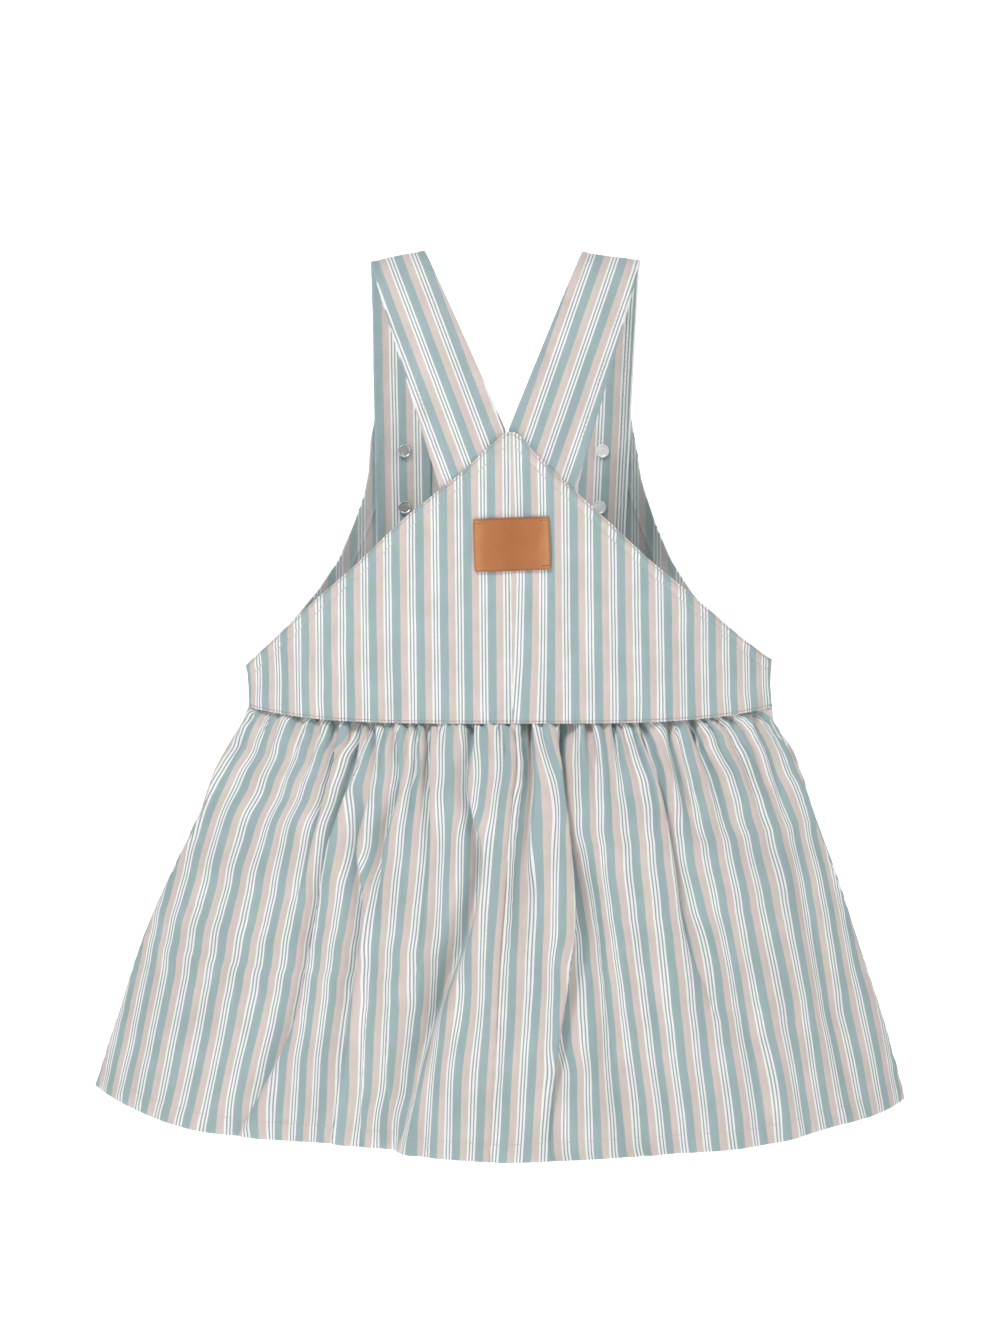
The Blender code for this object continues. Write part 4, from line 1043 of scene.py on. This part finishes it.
for label, (x, level) in SNAPS.items():
    step = 0.001
    x, level = np.array(x), np.array(level)
    here = on_bodice(1, x, level)
    normal = np.cross(on_bodice(1, x, level + step) - here, on_bodice(1, x + step, level) - here)
    normal = normal * math.copysign(1.0, normal[1])
    normal /= np.linalg.norm(normal)
    # each cap takes its side's copy of the nickel; the right one carries a painted reflection
    metal = NICKEL[label.split("_")[0]]
    snap_cap("snap_%s_underside" % label, "snap_inner_" + label,
             here - normal * (STRAP_CLEARANCE + STRAP_CLOTH / 2 + 0.0002), -normal, INNER_PROFILE, metal)
    snap_cap("snap_%s_outside" % label, "snap_outer_" + label,
             here + normal * (BODICE_CLOTH / 2 + 0.0004), normal, OUTER_PROFILE, metal)


# ---------------------------------------------------------------- topstitching
# Lockstitch in a tonal cotton thread along every turned edge and beside the seams, about 3 mm to a stitch,
# a warm, nearly unbroken line of thread and painted seam shade at the waist, the armhole edges and the
# skirt's centre-back seam, and the darker tacks that hold the patch. Each stitch lies half sunk in the cloth.
def thread_material(name, colour):
    material, tree, shader = new_material(name, Roughness=0.7)
    ply = noise(tree, add_node(tree, "ShaderNodeTexCoord").outputs["Object"], 1800.0, 2.0)
    tinted = add_node(tree, "ShaderNodeHueSaturation", Value=math_node(tree, "MULTIPLY_ADD", ply, 0.3, 0.84),
                      Color=colour)
    tree.links.new(tinted.outputs[0], shader.inputs["Base Color"])
    link_bump(tree, shader, 0.4, 0.0001, ply)
    return material


def stitch_tree(name, material):
    """Stitches of a given pitch, length and thickness along the edges of a mesh."""
    tree = bpy.data.node_groups.new(name, "GeometryNodeTree")
    tree.interface.new_socket("Geometry", in_out="INPUT", socket_type="NodeSocketGeometry")
    for label, value in (("Pitch", 0.003), ("Length", 0.0021), ("Thread", 0.00034)):
        socket = tree.interface.new_socket(label, in_out="INPUT", socket_type="NodeSocketFloat")
        socket.default_value = value
    tree.interface.new_socket("Geometry", in_out="OUTPUT", socket_type="NodeSocketGeometry")
    given = tree.nodes.new("NodeGroupInput").outputs
    line = add_node(tree, "GeometryNodeMeshToCurve", Mesh=given["Geometry"])
    even = add_node(tree, "GeometryNodeResampleCurve", Curve=line.outputs[0])
    even.mode = "LENGTH"
    tree.links.new(given["Pitch"], even.inputs["Length"])
    ball = add_node(tree, "GeometryNodeMeshUVSphere", Segments=6, Rings=4, Radius=0.5)
    size = add_node(tree, "ShaderNodeCombineXYZ", X=given["Thread"], Y=given["Thread"], Z=given["Length"])
    stitch = add_node(tree, "GeometryNodeTransform", Geometry=ball.outputs["Mesh"], Scale=size.outputs[0])
    tangent = add_node(tree, "GeometryNodeInputTangent")
    turn = add_node(tree, "FunctionNodeAlignRotationToVector", (("axis", "Z"),), Vector=tangent.outputs[0])
    laid = add_node(tree, "GeometryNodeInstanceOnPoints", Points=even.outputs[0], Instance=stitch.outputs[0],
                    Rotation=turn.outputs[0])
    real = add_node(tree, "GeometryNodeRealizeInstances", Geometry=laid.outputs[0])
    painted = add_node(tree, "GeometryNodeSetMaterial", Geometry=real.outputs[0], Material=material)
    smooth = add_node(tree, "GeometryNodeSetShadeSmooth", Geometry=painted.outputs[0])
    last = tree.nodes.new("NodeGroupOutput")
    tree.links.new(smooth.outputs[0], last.inputs[0])
    return tree


def sew(name, lines, material, **sizes):
    points, edges, start = [], [], 0
    for line in lines:
        points += np.asarray(line).tolist()
        edges += [(start + k, start + k + 1) for k in range(len(line) - 1)]
        start += len(line)
    mesh = bpy.data.meshes.new(name + " lines")
    mesh.from_pydata(points, edges, [])
    guide = bpy.data.objects.new(name + " guide", mesh)
    bpy.context.collection.objects.link(guide)
    tree = stitch_tree(name, material)
    modifier = guide.modifiers.new("stitches", "NODES")
    modifier.node_group = tree
    for item in tree.interface.items_tree:
        if item.in_out == "INPUT" and item.name in sizes:
            modifier[item.identifier] = sizes[item.name]
    bpy.context.view_layer.update()
    evaluated = guide.evaluated_get(bpy.context.evaluated_depsgraph_get())
    sewn = bpy.data.meshes.new_from_object(evaluated)
    sewn.name = name
    guide.modifiers.remove(modifier)
    bpy.data.objects.remove(guide)
    thing = bpy.data.objects.new(name, sewn)
    bpy.context.collection.objects.link(thing)
    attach(thing, "root")


sew("topstitching", stitch_lines, thread_material("tonal thread", srgb(208, 198, 188)), Thread=0.00042)
# a nearly unbroken warm line: part thread, part painted shade in the seams' gaps and along the edges
sew("edge_thread_and_shade", thread_and_shade_lines, thread_material("warm thread and painted seam shade", srgb(184, 152, 134)), Pitch=0.0024,
    Length=0.0025, Thread=0.00040)
tacks = []
for u, v in ((-0.0205, 0.0132), (0.0195, 0.0138), (0.0200, -0.0135)):
    run = np.linspace(-0.0012, 0.0012, 3)
    tacks.append(patch_place(u + run, v + 0 * run, 0.0 * run + BODICE_CLOTH / 2 + 0.0019))
sew("patch_tacks", tacks, thread_material("brown thread", srgb(86, 50, 32)), Pitch=0.0022, Length=0.0019)


# ---------------------------------------------------------------- studio
# A pale seamless sweep behind and below the dress, a large soft key light from the upper left and a
# weaker one from the right, and a level camera at the height of the middle of the photograph.
def sweep():
    profile = [(-6.0, -1.0)] + [(2.0 + 1.5 * math.sin(a), 0.5 - 1.5 * math.cos(a))
                                for a in np.linspace(0, math.pi / 2, 16)] + [(3.5, 4.5)]
    points = [(x, y, z) for y, z in profile for x in (-6.0, 6.0)]
    faces = [(2 * k, 2 * k + 1, 2 * k + 3, 2 * k + 2) for k in range(len(profile) - 1)]
    material = new_material("pale sweep", Base_Color=(0.93, 0.93, 0.93, 1.0), Roughness=0.9,
                            Emission_Color=(1.0, 1.0, 1.0, 1.0), Emission_Strength=0.82)[0]
    new_mesh("studio_sweep", points, faces, [material])


def area_light(name, place, target, size, power):
    light = bpy.data.lights.new(name, "AREA")
    light.shape, light.size, light.energy = "DISK", size, power
    lamp = bpy.data.objects.new(name, light)
    lamp.location = place
    lamp.rotation_euler = (Vector(target) - Vector(place)).to_track_quat("-Z", "Y").to_euler()
    bpy.context.collection.objects.link(lamp)


sweep()
area_light("key", (-1.0, -1.65, 1.65), (0.0, 0.0, -0.25), 0.7, 34.5)
area_light("fill", (1.3, -1.2, 1.9), (0.0, 0.0, -0.28), 1.4, 18.0)
world = bpy.data.worlds.new("studio air")
world.use_nodes = True
air = world.node_tree.nodes["Background"]
air.inputs["Color"].default_value = (1.0, 1.0, 1.0, 1.0)
air.inputs["Strength"].default_value = 0.17
bpy.context.scene.world = world
bpy.context.scene.view_settings.view_transform = "Standard"

CAMERA_DISTANCE = 2.2
VIEW_WIDTH = 0.615          # what the photograph's width spans at the middle of the dress
camera_data = bpy.data.cameras.new("camera")
camera_data.sensor_fit, camera_data.sensor_width = "HORIZONTAL", 36.0
camera_data.lens = 36.0 * CAMERA_DISTANCE / VIEW_WIDTH
camera = bpy.data.objects.new("camera", camera_data)
camera.location = (-0.0043, -CAMERA_DISTANCE, -0.2546)
camera.rotation_euler = (math.pi / 2, 0.0, 0.0)
bpy.context.collection.objects.link(camera)
bpy.context.scene.camera = camera
